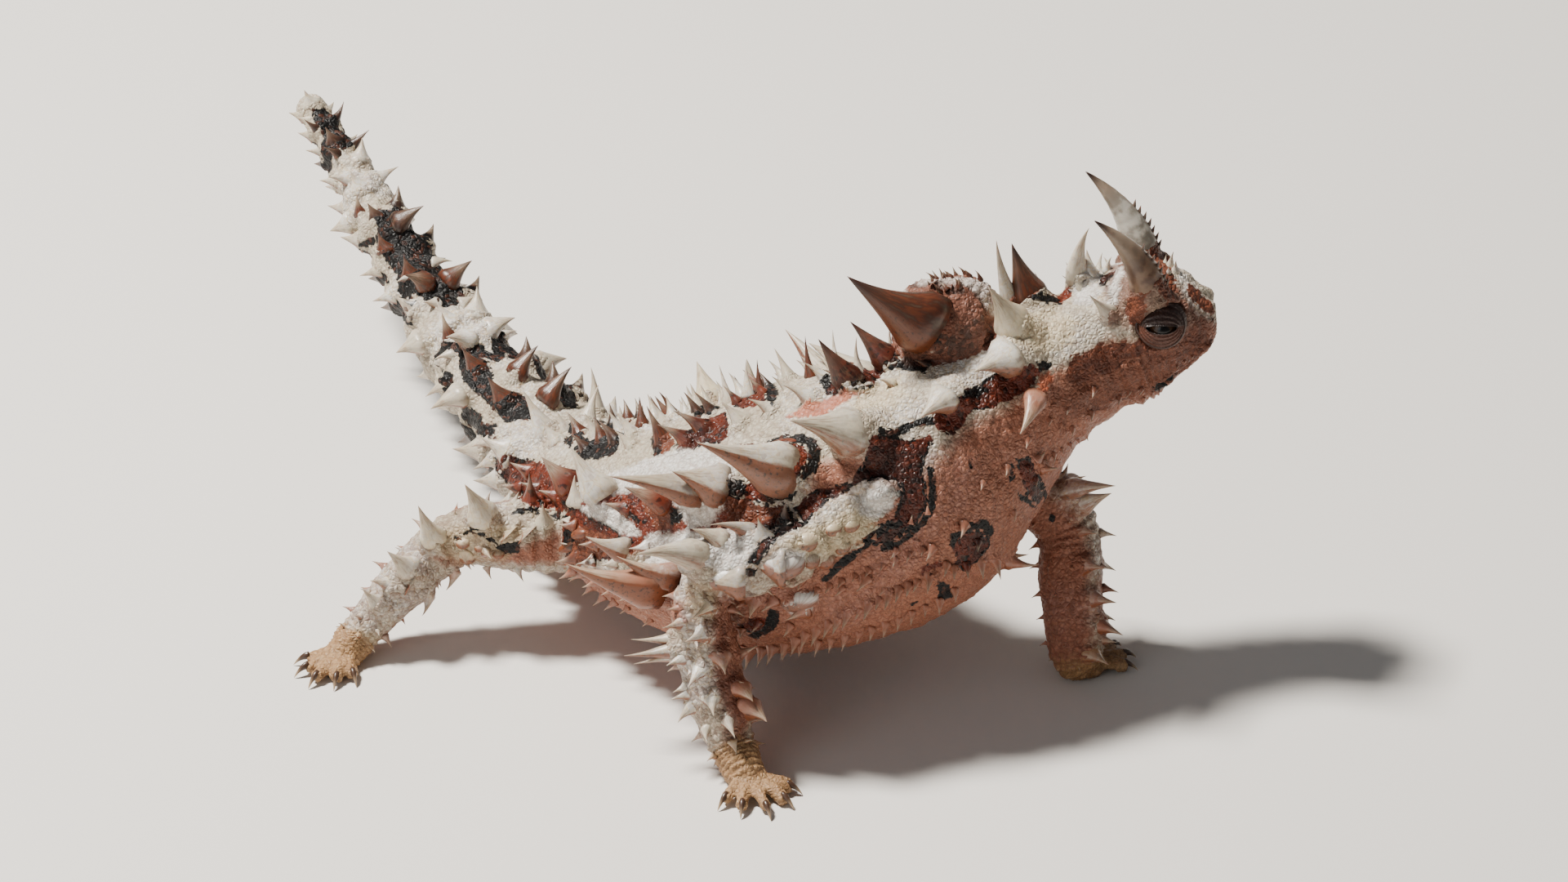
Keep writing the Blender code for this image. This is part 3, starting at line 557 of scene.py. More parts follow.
SMALL = {
    "hip, flank and elbow": [
        (650, 615, 648, 578, 1.5, "rust", 0.6), (707, 615, 704, 582, 1.4, "pale", 0.1),
        (803, 728, 791, 735, 1.0), (833, 705, 820, 699, 1.1, "pale", 0.1)],
    "ribs and arm pit": [
        (915, 652, 869, 643, 1.4, "horn", 0.2), (935, 655, 928, 634, 1.2, "pale", 0.1),
        (990, 608, 972, 601, 1.1), (908, 518, 882, 491, 1.5, "pale", 0.1)],
    "inner back": [
        (862, 527, 824, 503, 1.5, "rust", 0.5), (842, 541, 805, 520, 1.5, "rust", 0.5),
        (856, 505, 845, 470, 1.3, "pale", 0.2), (824, 512, 815, 484, 1.0, "pale", 0.2),
        (787, 524, 783, 486, 1.1, "brown", 0.8), (776, 535, 754, 504, 1.3, "pale", 0.2),
        (812, 540, 792, 497, 1.3, "brown", 0.6)],
    "rump": [
        (718, 520, 733, 471, 1.5, "pale", 0.2), (668, 530, 640, 477, 1.8, "pale", 0.3),
        (712, 535, 695, 505, 1.5, "brown", 0.5), (738, 540, 727, 510, 1.2, "brown", 0.6)],
    "crest": [
        (992, 455, 986, 412, 0.8, "brown", 0.9), (1027, 445, 1021, 404, 0.8, "pale", 0.2),
        (1052, 443, 1049, 412, 0.9, "pale", 0.2), (1094, 424, 1091, 389, 0.6, "pale", 0.9),
        (966, 460, 949, 426, 1.1, "pale", 0.2), (932, 478, 928, 440, 0.7, "brown", 0.9),
        (916, 478, 914, 440, 0.8, "pale", 0.2), (889, 478, 881, 447, 0.8, "pale", 0.4)],
    "far crest": [
        (1276, 352, 1267, 333, 0.6, "pale", 0.1)],
    "nape": [
        (1314, 340, 1305, 321, 0.7, "pale", 0.1), (1312, 347, 1301, 337, 0.6, "pale", 0.1),
        (1347, 326, 1350, 309, 0.8, "pale", 0.1), (1356, 330, 1362, 314, 0.7, "pale", 0.1),
        (1356, 383, 1333, 361, 1.2, "pale", 0.1)],
    "brow": [
        (1439, 332, 1440, 319, 0.6, "pale", 0.4), (1434, 320, 1437, 308, 0.6, "pale", 0.6)],
    "tail right": [
        (412, 142, 421, 124, 0.9, "dark", -0.3), (434, 176, 452, 159, 1.0, "dark", -0.3),
        (466, 217, 488, 204, 1.2, "pale", 0.1), (530, 322, 554, 320, 1.0, "pale", 0.1),
        (566, 372, 584, 362, 1.0, "pale", 0.1), (612, 412, 633, 405, 0.9, "pale", 0.1)],
    "tail left": [
        (378, 148, 361, 143, 0.9), (392, 185, 374, 184, 0.9), (409, 221, 391, 221, 1.1),
        (457, 333, 440, 338, 1.1), (480, 362, 456, 369, 1.3), (546, 470, 521, 486, 1.2),
        (604, 540, 576, 547, 1.2), (606, 562, 579, 575, 1.2, "pale", 0.2)],
    "tail middle": [
        (443, 262, 437, 238, 1.1, "brown", 0.2), (472, 305, 463, 284, 1.4, "brown", 0.8),
        (503, 338, 494, 312, 1.5, "brown", 0.8), (553, 418, 541, 382, 1.4, "brown", 0.2),
        (583, 452, 565, 424, 1.5, "brown", 0.8), (618, 492, 596, 460, 1.8, "brown", 0.8),
        (658, 500, 645, 484, 1.3, "pale", 0.3)],
    "shank": [
        (476, 716, 453, 711, 1.2), (462, 738, 444, 722, 1.3), (522, 735, 517, 754, 1.1),
        (505, 712, 498, 708, 1.9, "horn", 0.0), (552, 708, 546, 723, 1.1)],
    "thigh": [
        (666, 640, 664, 617, 1.4), (697, 640, 703, 629, 1.0), (570, 683, 569, 688, 1.2),
        (645, 655, 640, 650, 1.6, "horn", 0.0), (622, 655, 617, 650, 1.4, "horn", 0.0),
        (695, 668, 693, 673, 0.9)],
    "forearm": [
        (836, 762, 811, 769, 1.1), (836, 806, 816, 815, 1.2), (838, 842, 824, 848, 0.9),
        (840, 850, 821, 857, 1.2), (842, 872, 830, 885, 1.4), (882, 806, 888, 826, 1.4),
        (872, 855, 874, 877, 1.3), (889, 880, 900, 904, 1.2), (897, 908, 903, 926, 0.6),
        (865, 894, 866, 909, 0.8), (897, 834, 911, 836, 0.6), (860, 775, 838, 786, 1.4),
        (858, 820, 842, 842, 1.2), (868, 740, 846, 757, 1.2), (832, 745, 818, 746, 0.9),
        (871, 748, 871, 757, 0.8)],
    "low rib": [
        (925, 734, 917, 757, 1.4), (984, 745, 962, 759, 1.4), (979, 712, 977, 723, 0.7),
        (908, 771, 906, 781, 0.6), (912, 792, 910, 801, 0.6)],
    "belly spine": [
        (820, 796, 764, 803, 1.6, "horn", 0.0), (808, 782, 773, 783, 1.1), (812, 806, 776, 813, 1.0)],
    "far arm": [
        (1268, 562, 1280, 553, 1.0), (1276, 573, 1296, 573, 0.9), (1295, 588, 1305, 578, 0.9),
        (1310, 591, 1330, 583, 0.8), (1320, 630, 1333, 626, 0.9), (1326, 650, 1343, 654, 0.9),
        (1330, 692, 1353, 696, 1.2), (1336, 733, 1367, 738, 1.4), (1344, 766, 1375, 778, 1.6),
        (1346, 783, 1367, 787, 1.2), (1336, 802, 1357, 814, 1.4)],
    "chest": [
        (1246, 688, 1272, 692, 1.3)],
}
SPINULES = [(1431, 333, 1431, 326), (1137, 628, 1136, 612), (1115, 640, 1117, 628),
            (1098, 660, 1099, 652), (1070, 660, 1073, 650), (1058, 684, 1060, 673),
            (1122, 662, 1124, 655), (1144, 632, 1144, 622), (1171, 645, 1170, 636),
            (1385, 492, 1386, 482), (1290, 496, 1289, 490)]
SMALL["spinule"] = [(*row, 0.35, "pale", 0.1) for row in SPINULES]
print("thorns set by eye:", len(GRAND) + sum(len(rows) for rows in SMALL.values()))


# %% Roots and tips in space
MIDDLE = 9.0


class Thorn:
    """A thorn's root, direction, size and colour."""

    def __init__(self, tube, t, angle, way, length, radius, colour="auto", tip=0.3, grand=False):
        self.tube, self.t, self.angle, self.way = tube, t, angle, way
        self.length, self.radius = length, radius
        self.colour, self.tip, self.grand = colour, tip, grand
        self.root = TUBES[tube].skin(t, angle)[0]
        self.outward = TUBES[tube].normal(t, angle)[0]


def local_axes(tube, t, angle):
    """Outward, ahead and round at a place on the skin."""
    outward = TUBES[tube].normal(t, angle)[0]
    ahead = TUBES[tube].section(t)[1][0]
    ahead = unit(ahead - outward * (ahead @ outward))
    return np.array([outward, ahead, np.cross(outward, ahead)])


def seen_thorn(x0, y0, x1, y1, radius, colour="pale", tip=0.0, grand=True):
    """A thorn between two pixels, rooted in the skin under its foot's pixel or the next one inward."""
    inward = unit(np.array([x0 - x1, y0 - y1], float))
    start = np.array([x0, y0]) + inward * grand * 0.2 * math.hypot(x1 - x0, y1 - y0)
    tries = [cast(base_tree, *(start + inward * step)) for step in range(0, 36, 3)]
    root = next((p for p in tries if p is not None), None)
    if root is None:
        return None
    tube, t, angle = [v[0] for v in places(root[None])]
    axes = local_axes(tube, t, angle)
    wish = unit(axes[0] - 0.7 * axes[1]) if tube == BODY else axes[0]
    line = sight(x1, y1)
    foot = EYEPOINT + line * ((root - EYEPOINT) @ line)
    gap, rise, run = np.linalg.norm(foot - root), (foot - root) @ wish, line @ wish
    step = np.clip(run * gap ** 2 / rise if rise > 0.05 * gap else 0.0, -0.9 * gap, 0.9 * gap)
    tip_point = foot + line * step
    way = tip_point - root
    length = float(np.linalg.norm(way))
    return Thorn(tube, t, angle, way / length, length, radius, colour, tip, grand)


def mirrored(thorn):
    """The same thorn on the other side of the back or on the other hind leg, a little varied."""
    looks = thorn.radius, thorn.colour, thorn.tip, thorn.grand
    mine = local_axes(thorn.tube, thorn.t, thorn.angle)
    if thorn.tube == HIND_RIGHT:
        theirs = local_axes(HIND_LEFT, thorn.t, -thorn.angle)
        way = unit(theirs.T @ (mine @ thorn.way * (1, 1, -1)))
        return Thorn(HIND_LEFT, thorn.t, -thorn.angle, way, thorn.length, *looks)
    middle = float(midline(thorn.t))
    if thorn.tube != BODY or abs(thorn.angle - middle) < MIDDLE:
        return None
    t = thorn.t + chance.uniform(-0.09, 0.09)
    other = 2.0 * middle - thorn.angle + chance.uniform(-3.0, 3.0)
    theirs = local_axes(BODY, t, other)
    way = unit(theirs.T @ (mine @ thorn.way * (1, 1, -1)) + chance.normal(0.0, 0.06, 3))
    return Thorn(BODY, t, other, way, thorn.length * chance.uniform(0.9, 1.08), *looks)


SINGLE = ("far", "crest", "tail middle")
thorns = []
groups = [(name, [row], True) for name, *row in GRAND]
groups += [(name, rows, False) for name, rows in SMALL.items()]
for name, rows, grand in groups:
    for row in rows:
        made = seen_thorn(*row, grand=grand)
        if made is None:
            print("no skin under a thorn of:", name)
            continue
        other = mirrored(made) if not name.startswith(SINGLE) else None
        thorns += [made] + ([other] if other else [])
print("thorns of the side in view, with their mirror images:", len(thorns))

# %% [markdown]
# ## Rows of smaller thorns
# Between the large thorns stand rows of smaller ones, along the back, the flanks and the belly's edge, in
# whorls round the tail and in rings round the legs. They are grown from a few sizes for each row and
# kept off the thorns that are there already.

# %% Rows, whorls and rings
ROWS = [
    ("midback", 4.3, 9.5, 13, 10, 11, 3.0, 3.4, 0.30, 0.5),
    ("upper back", 4.5, 9.3, 12, 27, 26, 3.2, 3.6, 0.36, 0.7),
    ("side", 4.5, 9.0, 11, 66, 64, 2.6, 2.8, 0.40, 0.8),
    ("flank", 4.3, 9.0, 13, 84, 80, 2.6, 2.4, 0.40, 0.8),
    ("low flank", 4.4, 8.8, 13, 100, 94, 2.8, 2.4, 0.38, 0.8),
    ("belly edge", 4.5, 9.6, 20, 116, 108, 2.2, 1.9, 0.36, 0.7),
    ("belly", 4.6, 9.6, 20, 130, 124, 1.7, 1.5, 0.36, 0.5),
    ("neck top", 9.7, 11.6, 4, 24, 30, 1.8, 1.6, 0.36, 0.4),
    ("neck low", 9.7, 11.9, 6, 104, 110, 1.6, 1.3, 0.34, 0.7),
    ("throat", 9.8, 13.4, 9, 128, 134, 1.3, 1.0, 0.34, 0.6),
]
TRACED = [
    ("belly's edge", 13.0, 2.5, [905, 800, 960, 790, 1000, 770, 1050, 745, 1100, 722, 1150, 700,
        1200, 688, 1235, 684]),
    ("under the belly", 14.0, 1.9, [960, 797, 1000, 787, 1050, 776, 1100, 758, 1150, 735, 1185, 712]),
    ("above the edge", 15.0, 1.4, [985, 728, 1030, 712, 1080, 692, 1130, 672, 1165, 655]),
    ("throat's edge", 11.0, 0.9, [1260, 572, 1300, 550, 1350, 522, 1400, 488, 1440, 460]),
    ("lip", 10.0, 0.5, [1442, 448, 1460, 436, 1478, 420]),
]
TAIL_WHORLS, TAIL_ANGLES = 15, (24, 62, 104, 146)
TAIL_THORN, TAIL_SPAN, TAIL_GIRTH = (5.2, 2.2), (0.08, TAIL_END), 0.56
RINGS, ROUND, RING_SPAN = 9, 6, (1.1, 4.2)
LIMB_THORN, LIMB_GIRTH = (1.1, 2.7), 0.36
LOWEST_ROOT, LOWEST_TIP = 0.9, 0.4


def clear_of(root, tube, room):
    """Whether a root keeps its distance from the thorns set so far."""
    return all(t.tube != tube or np.linalg.norm(root - t.root) > 0.8 * t.radius + room for t in thorns)


def inside_other(point, tube):
    """Whether a point lies inside another tube."""
    for index, other in enumerate(TUBES):
        if index == tube:
            continue
        centre, ahead, side, top, reach = other.section(np.linspace(0.0, other.end, int(6 * other.end)))
        forward, across, rise = [((point - centre) * way).sum(1) for way in (ahead, side, top)]
        oval = (across / reach[:, 0]) ** 2 + (rise / upright(reach, rise)) ** 2
        if ((np.abs(forward) < 1.5) & (oval < 1.02)).any():
            return True
    return False


def grow(tube, t, angle, length, girth, back):
    """Adds a thorn at a place if there is room for it and it doesn't touch the ground."""
    axes = local_axes(tube, t, angle)
    root = TUBES[tube].skin(t, angle)[0]
    way = unit(axes[0] - back * axes[1])
    if not clear_of(root, tube, 0.8 * girth * length) or inside_other(root + axes[0] * 0.3, tube):
        return
    if root[2] < LOWEST_ROOT or (root + way * length)[2] < LOWEST_TIP:
        return
    thorns.append(Thorn(tube, t, angle, way, length, girth * length))


for name, t0, t1, count, a0, a1, l0, l1, girth, back in ROWS:
    before = len(thorns)
    for side in (1.0, -1.0):
        for k in range(count):
            share = (k + 0.3 * (side > 0)) / count
            t = t0 + (t1 - t0) * share + chance.uniform(-0.05, 0.05)
            angle = side * (a0 + (a1 - a0) * share + chance.uniform(-4, 4)) + float(midline(t))
            grow(BODY, t, angle, (l0 + (l1 - l0) * share) * chance.uniform(0.75, 1.2), girth, back)
    print(f"{name}: {len(thorns) - before} of {2 * count}")
for k in range(TAIL_WHORLS):
    share = k / (TAIL_WHORLS - 1)
    t = TAIL_SPAN[0] + (TAIL_SPAN[1] - TAIL_SPAN[0]) * share
    base = TAIL_THORN[1] + (TAIL_THORN[0] - TAIL_THORN[1]) * share
    for angle in TAIL_ANGLES:
        for side in (1.0, -1.0):
            grow(BODY, t + chance.uniform(-0.04, 0.04), side * (angle + chance.uniform(-5, 5)),
                 base * chance.uniform(0.8, 1.1), TAIL_GIRTH, 0.75)
for name, spacing, length, numbers in TRACED:
    before, pixels = len(thorns), np.reshape(numbers, (-1, 2))
    for (x0, y0), (x1, y1) in zip(pixels[:-1], pixels[1:]):
        steps = max(int(math.hypot(x1 - x0, y1 - y0) / spacing), 1)
        for k in range(steps):
            root = cast(base_tree, x0 + (x1 - x0) * k / steps, y0 + (y1 - y0) * k / steps)
            if root is None:
                continue
            tube, t, angle = [v[0] for v in places(root[None])]
            size = length * chance.uniform(0.7, 1.15)
            grow(tube, t, angle, size, LIMB_GIRTH, 0.3)
            if tube == BODY:
                grow(BODY, t, 2.0 * float(midline(t)) - angle, size, LIMB_GIRTH, 0.3)
    print(f"{name}: {len(thorns) - before}")
for index, name in enumerate(LIMBS, 1):
    for k in range(RINGS):
        t = RING_SPAN[0] + (RING_SPAN[1] - RING_SPAN[0]) * k / (RINGS - 1)
        for j in range(ROUND):
            angle = 360.0 * (j + 0.5 * (k % 2)) / ROUND + chance.uniform(-12, 12)
            outer = 0.5 + 0.5 * math.cos(math.radians(angle))
            length = (LIMB_THORN[0] + (LIMB_THORN[1] - LIMB_THORN[0]) * outer) * chance.uniform(0.7, 1.1)
            if index < HIND_LEFT and t > 1.6 and TUBES[index].normal(t, angle)[0] @ BACK > 0.2:
                length *= 0.5
            grow(index, t, angle, length, LIMB_GIRTH, -0.35 if t > 2 else 0.35)
print("thorns in all:", len(thorns))

# %% [markdown]
# ## The knob on the nape
# A thorny devil carries a false head behind its neck: a soft knob with two large thorns. It is an
# ellipsoid pressed into the neck, with the same middle and directions as its solid.

# %% Knob and its thorns
KNOB_STATION, KNOB_LIFT, KNOB_ROOT, KNOB_SIZE = 10.65, 1.6, 3.4, (7.0, 4.2, 7.0)
KNOB_THORNS = {-1.0: (8.6, 1.6, 12.4), 1.0: (4.0, 7.0, 2.0)}
KNOB_SPINULES = 26
knob_angle = float(midline(KNOB_STATION))
knob_up = unit(body.normal(KNOB_STATION, knob_angle)[0] + SKYWARD)
knob_ahead = body.section(KNOB_STATION)[1][0]
knob_ahead = unit(knob_ahead - knob_up * (knob_ahead @ knob_up))
knob_left = np.cross(knob_up, knob_ahead)
knob_centre = body.skin(KNOB_STATION, knob_angle)[0] + knob_up * KNOB_LIFT
rings, a = [], np.radians(circle(36))[:, None]
tall = np.where(np.sin(a) > 0, KNOB_SIZE[2], KNOB_ROOT)
for share in np.linspace(-0.995, 0.995, 33):
    oval = knob_left * KNOB_SIZE[1] * np.cos(a) + knob_up * tall * np.sin(a)
    rings.append(knob_centre + knob_ahead * KNOB_SIZE[0] * share + math.sqrt(1.0 - share * share) * oval)
flesh.tube(rings)


def knob_thorn(back, out, up, way, length, radius, tip, grand=True):
    """A thorn on the knob, its root given by shares of the knob's half axes."""
    thorn = Thorn(BODY, KNOB_STATION, knob_angle, unit(way), length, radius, "brown", tip, grand)
    thorn.root = (knob_centre - knob_ahead * KNOB_SIZE[0] * back + knob_left * KNOB_SIZE[1] * out
                  + knob_up * KNOB_SIZE[2] * up)
    thorn.outward = unit(-knob_ahead * back / KNOB_SIZE[0] + knob_left * out / KNOB_SIZE[1]
                         + knob_up * up / KNOB_SIZE[2])
    return thorn


for side, (back, out, rise) in KNOB_THORNS.items():
    reach = knob_left * side * out + knob_up * rise - knob_ahead * back
    thorns.append(knob_thorn(0.4, 0.4 * side, 0.3, reach, float(np.linalg.norm(reach)), 3.9, 0.9))
for k in range(KNOB_SPINULES):
    back, out = chance.uniform(-0.8, 0.9), chance.uniform(-0.55, 0.55)
    if back * back + out * out < 0.8:
        up = math.sqrt(1.0 - back * back - out * out)
        way = knob_up + chance.normal(0.0, 0.25, 3) - knob_ahead * 0.2
        thorns.append(knob_thorn(back, out, up, way, chance.uniform(0.8, 1.9), 0.42, 0.2, False))
print("knob at", knob_centre.round(1))

# %% [markdown]
# ## Mounds and swellings
# Each larger thorn stands on a mound of scaly skin, and the mounds are short cones sunk in the body. Folds
# and smooth swellings between the thorns are flattened balls, set between two pixels that mark their ends.

# %% Mounds and swellings
TWINS = np.array([0, 2, 1, 4, 3])
MOUND_FROM, MOUND_SIDES = 0.9, 16


def other_side(points):
    """The mirror image of points of the skin: across the back, or on the opposite leg."""
    w, t, a = places(points)
    lift = ((points - feet_of(w, t, a)) * normals_of(w, t, a)).sum(1)
    there = TWINS[w], t, np.where(w == BODY, 2.0 * midline(t) - a, -a)
    return feet_of(*there) + normals_of(*there) * lift[:, None]


for thorn in thorns:
    if thorn.radius < MOUND_FROM:
        continue
    spread = unit(np.cross(thorn.outward, [0.3, 0.2, 1.0]))
    side = unit(spread - thorn.way * float(spread @ thorn.way))
    ring = hoop(side, np.cross(thorn.way, side), MOUND_SIDES)
    flat = hoop(spread, np.cross(thorn.outward, spread), MOUND_SIDES)
    r, height = thorn.radius, (0.28 if thorn.grand else 0.18) * thorn.length
    flesh.tube([thorn.root - thorn.outward * 1.2 + flat * 1.7 * r, thorn.root + flat * 1.4 * r,
                thorn.root + thorn.way * 0.4 * height + (flat + ring) * 0.56 * r,
                thorn.root + thorn.way * height + ring * 0.94 * r])
PEARLS = [
    (934, 694, 986, 685, 3.9, 2.0), (866, 713, 912, 704, 2.8, 1.4), (984, 690, 1002, 681, 2.1, 1.1),
    (1003, 691, 1019, 681, 1.9, 1.0), (974, 669, 1001, 660, 2.3, 0.9), (1024, 676, 1041, 665, 1.5, 0.7),
    (958, 743, 1001, 727, 2.7, 1.2), (904, 736, 926, 725, 1.9, 0.9), (1054, 606, 1096, 600, 3.8, 2.2),
    (1004, 568, 1066, 592, 4.6, 1.2), (822, 604, 884, 612, 4.2, 1.2), (704, 656, 717, 652, 1.2, 0.8),
    (724, 669, 738, 664, 1.2, 0.8), (744, 674, 757, 668, 1.2, 0.7), (690, 672, 703, 668, 1.1, 0.7),
    (560, 668, 575, 662, 1.3, 0.8), (582, 672, 596, 668, 1.2, 0.8), (604, 680, 617, 676, 1.2, 0.8),
    (1012, 652, 1030, 645, 1.5, 0.5), (1035, 648, 1052, 640, 1.5, 0.5), (930, 560, 980, 545, 3.0, 0.9),
]
BOSS_WIDTH, BOSS_HEIGHT = 4.0, 2.0
bosses = []
for x0, y0, x1, y1, wide, high in PEARLS:
    ends = [cast(base_tree, x0, y0), cast(base_tree, x1, y1)]
    if ends[0] is None or ends[1] is None:
        continue
    for one, two in (ends, other_side(np.array(ends))):
        w, t, angle = [v[0] for v in places((one + two)[None] / 2.0)]
        outward = TUBES[w].normal(t, angle)[0]
        long = unit(two - one - outward * float((two - one) @ outward))
        axes = np.array([long, np.cross(outward, long), outward])
        reach = (np.linalg.norm(two - one) / 2.0, wide / 2.0, high)
        centre = TUBES[w].skin(t, angle)[0] - outward * 0.15
        flesh.tube(ball(centre, reach, axes, 16, 9))
        if wide < BOSS_WIDTH and high <= BOSS_HEIGHT:
            bosses.append((w, t, angle, centre, np.array(reach), axes))
print("swellings that carry a smooth boss:", len(bosses))

# %% [markdown]
# ## Lumps of the head, and one skin for everything
# Brows, cheeks, lips and the sockets of the horns are set by distances from the snout, alike on both sides.
# Then all the clay is joined: voxel remesh fills space with small cubes and wraps them in one even mesh,
# and a smoothing pass melts the joints.

# %% Head and remesh
LUMPS = [
    ("brow", 9.2, 4.9, 6.3, (3.6, 1.8, 1.6)),
    ("cheek", 11.6, 5.2, -2.6, (3.8, 2.4, 3.4)),
    ("jaw corner", 9.2, 4.6, -5.0, (3.2, 1.7, 2.0)),
    ("lip", 4.4, 3.3, -1.6, (3.4, 1.5, 1.5)),
    ("nose", 2.2, 1.6, 2.9, (1.7, 1.4, 1.2)),
]
for name, back, out, above, reach in LUMPS:
    for side in (1.0, -1.0):
        flesh.tube(ball(head_point(back, out * side, above), reach, HEAD_AXES))
HORN_ROOT, HORN_REACH, HORN_BEND, HORN_RADIUS = (9.4, 4.6, 6.4), (7.4, 2.0, 12.2), (0.12, 0.5, 0.55), 2.9
HORN_SIDES = 30


def horn_line(side, share):
    """A point of a brow horn's bent middle line, and two directions across it."""
    root, bend, tip = [head_point(*(np.array(HORN_ROOT) + np.array(part) * HORN_REACH) * (1.0, side, 1.0))
                       for part in ((0.0, 0.0, 0.0), HORN_BEND, (1.0, 1.0, 1.0))]
    here = (1 - share) ** 2 * root + 2 * share * (1 - share) * bend + share ** 2 * tip
    way = unit((1 - share) * (bend - root) + share * (tip - bend))
    across = unit(HEAD_AXES[1] * side - way * float(HEAD_AXES[1] @ way) * side)
    return here, across, np.cross(way, across)


def horn_rings(side, shares, girths):
    """Rings of a horn, slightly flattened."""
    a, rings = np.radians(circle(HORN_SIDES)), []
    keel = 1.0 + 0.07 * np.cos(2 * a)
    for share, girth in zip(shares, girths):
        here, across, over = horn_line(side, share)
        loop = across * (np.cos(a) * keel)[:, None] + over * (np.sin(a) * keel)[:, None]
        rings.append(here + loop * HORN_RADIUS * girth)
    return rings


for side in (1.0, -1.0):
    flesh.tube(horn_rings(side, (-0.3, -0.1, 0.06, 0.18, 0.27), (0.95, 1.08, 0.98, 0.85, 0.7)))
VOXEL, MELT = 0.27, 2.4
skin_mesh = flesh.mesh("skin")
skin = bpy.data.objects.new("skin_rough", skin_mesh)
bpy.context.scene.collection.objects.link(skin)
remesh = skin.modifiers.new("one skin", "REMESH")
remesh.mode, remesh.voxel_size = "VOXEL", VOXEL * MM
melt = skin.modifiers.new("melt the joints", "SMOOTH")
melt.factor, melt.iterations = 0.5, int(MELT / VOXEL)
graph = bpy.context.evaluated_depsgraph_get()
skin_mesh = bpy.data.meshes.new_from_object(skin.evaluated_get(graph))
bpy.data.objects.remove(skin)
count = len(skin_mesh.vertices)
spots = np.zeros(count * 3)
skin_mesh.vertices.foreach_get("co", spots)
spots = spots.reshape(-1, 3) / MM - SHIFT
print("skin:", count, "points after the remesh")

# %% [markdown]
# ## Noise made of numbers
# Scales are cells: each point of the skin belongs to the nearest of many scattered seeds. The distance to
# the nearest and to the second nearest seed gives the dome of each scale and the groove between scales.

# %% Cell noise and soft noise
def scattered(cell, salt):
    """Three numbers between 0 and 1 for each cell of a grid, always the same for the same cell."""
    x, y, z = np.moveaxis(cell * (73856093, 19349663, 83492791), -1, 0)
    seed, out = x ^ y ^ z ^ (salt * 2654435), []
    for k in (1, 2, 3):
        h = (seed * (k * 1103515245 + 12345)) & 0x7FFFFFFF
        h = ((h >> 13) ^ h) * 1274126177 & 0x7FFFFFFF
        out.append(((h >> 7) & 0xFFFF) / 65535.0)
    return np.stack(out, -1)


def cells(points, size, salt):
    """How much nearer the nearest seed is than the next, in cell sizes, and a number for each cell."""
    q = points / size
    base = np.floor(q).astype(np.int64)
    first, second, tag = np.full(len(q), 9.0), np.full(len(q), 9.0), np.zeros(len(q))
    for step in itertools.product((-1, 0, 1), repeat=3):
        cell = base + step
        r = scattered(cell, salt)
        d = np.linalg.norm(cell + 0.15 + 0.7 * r - q, axis=1)
        closer = d < first
        second = np.where(closer, first, np.minimum(second, d))
        tag = np.where(closer, r[:, 0], tag)
        first = np.where(closer, d, first)
    return second - first, tag


def soft_noise(points, size, salt=5):
    """Smooth noise between -1 and 1."""
    q = points / size
    base = np.floor(q).astype(np.int64)
    f = q - base
    f = f * f * (3.0 - 2.0 * f)
    total = np.zeros(len(q))
    for corner in itertools.product((0, 1), repeat=3):
        x, y, z = np.where(corner, f, 1 - f).T
        total += x * y * z * (2.0 * scattered(base + corner, salt)[:, 0] - 1.0)
    return total


which, skin_t, skin_a = places(spots)
on_body, on_leg = which == BODY, which != BODY
print("points of the body:", int(on_body.sum()), "of the legs:", int(on_leg.sum()))

# %% [markdown]
# ## Painting the markings
# Markings are drawn as on a cast: the outline of a patch is a ring of pixels of the photograph, a line is
# a row of pixels with a radius. The sight through each pixel carries it to the skin. From then on the
# patch belongs to the skin, and it is painted from every side. Its mirror image falls on the other side.

# %% From pixels to the skin
skin_faces = [tuple(p.vertices) for p in skin_mesh.polygons]
skin_tree = BVHTree.FromPolygons([Vector(p) for p in spots], skin_faces)
OUTSIDE = -3.0
DEEPEST = 7.0


def carried(pixels):
    """The points of the skin under a row of pixels; one beside the animal is drawn in to the middle."""
    middle, found = np.mean(pixels, axis=0), []
    for x, y in pixels:
        for pull in (0.0, 0.1, 0.2, 0.35, 0.5):
            hit = cast(skin_tree, x + (middle[0] - x) * pull, y + (middle[1] - y) * pull)
            if hit is not None:
                found.append(hit)
                break
    return np.array(found)


def to_line(points, line):
    """Distance of points to a line of points."""
    best = np.full(len(points), 99.0)
    for a, b in zip(line[:-1], line[1:]):
        along = b - a
        s = np.clip(((points - a) @ along) / max(along @ along, 1e-9), 0.0, 1.0)
        best = np.minimum(best, np.linalg.norm(points - a - s[:, None] * along, axis=1))
    return best


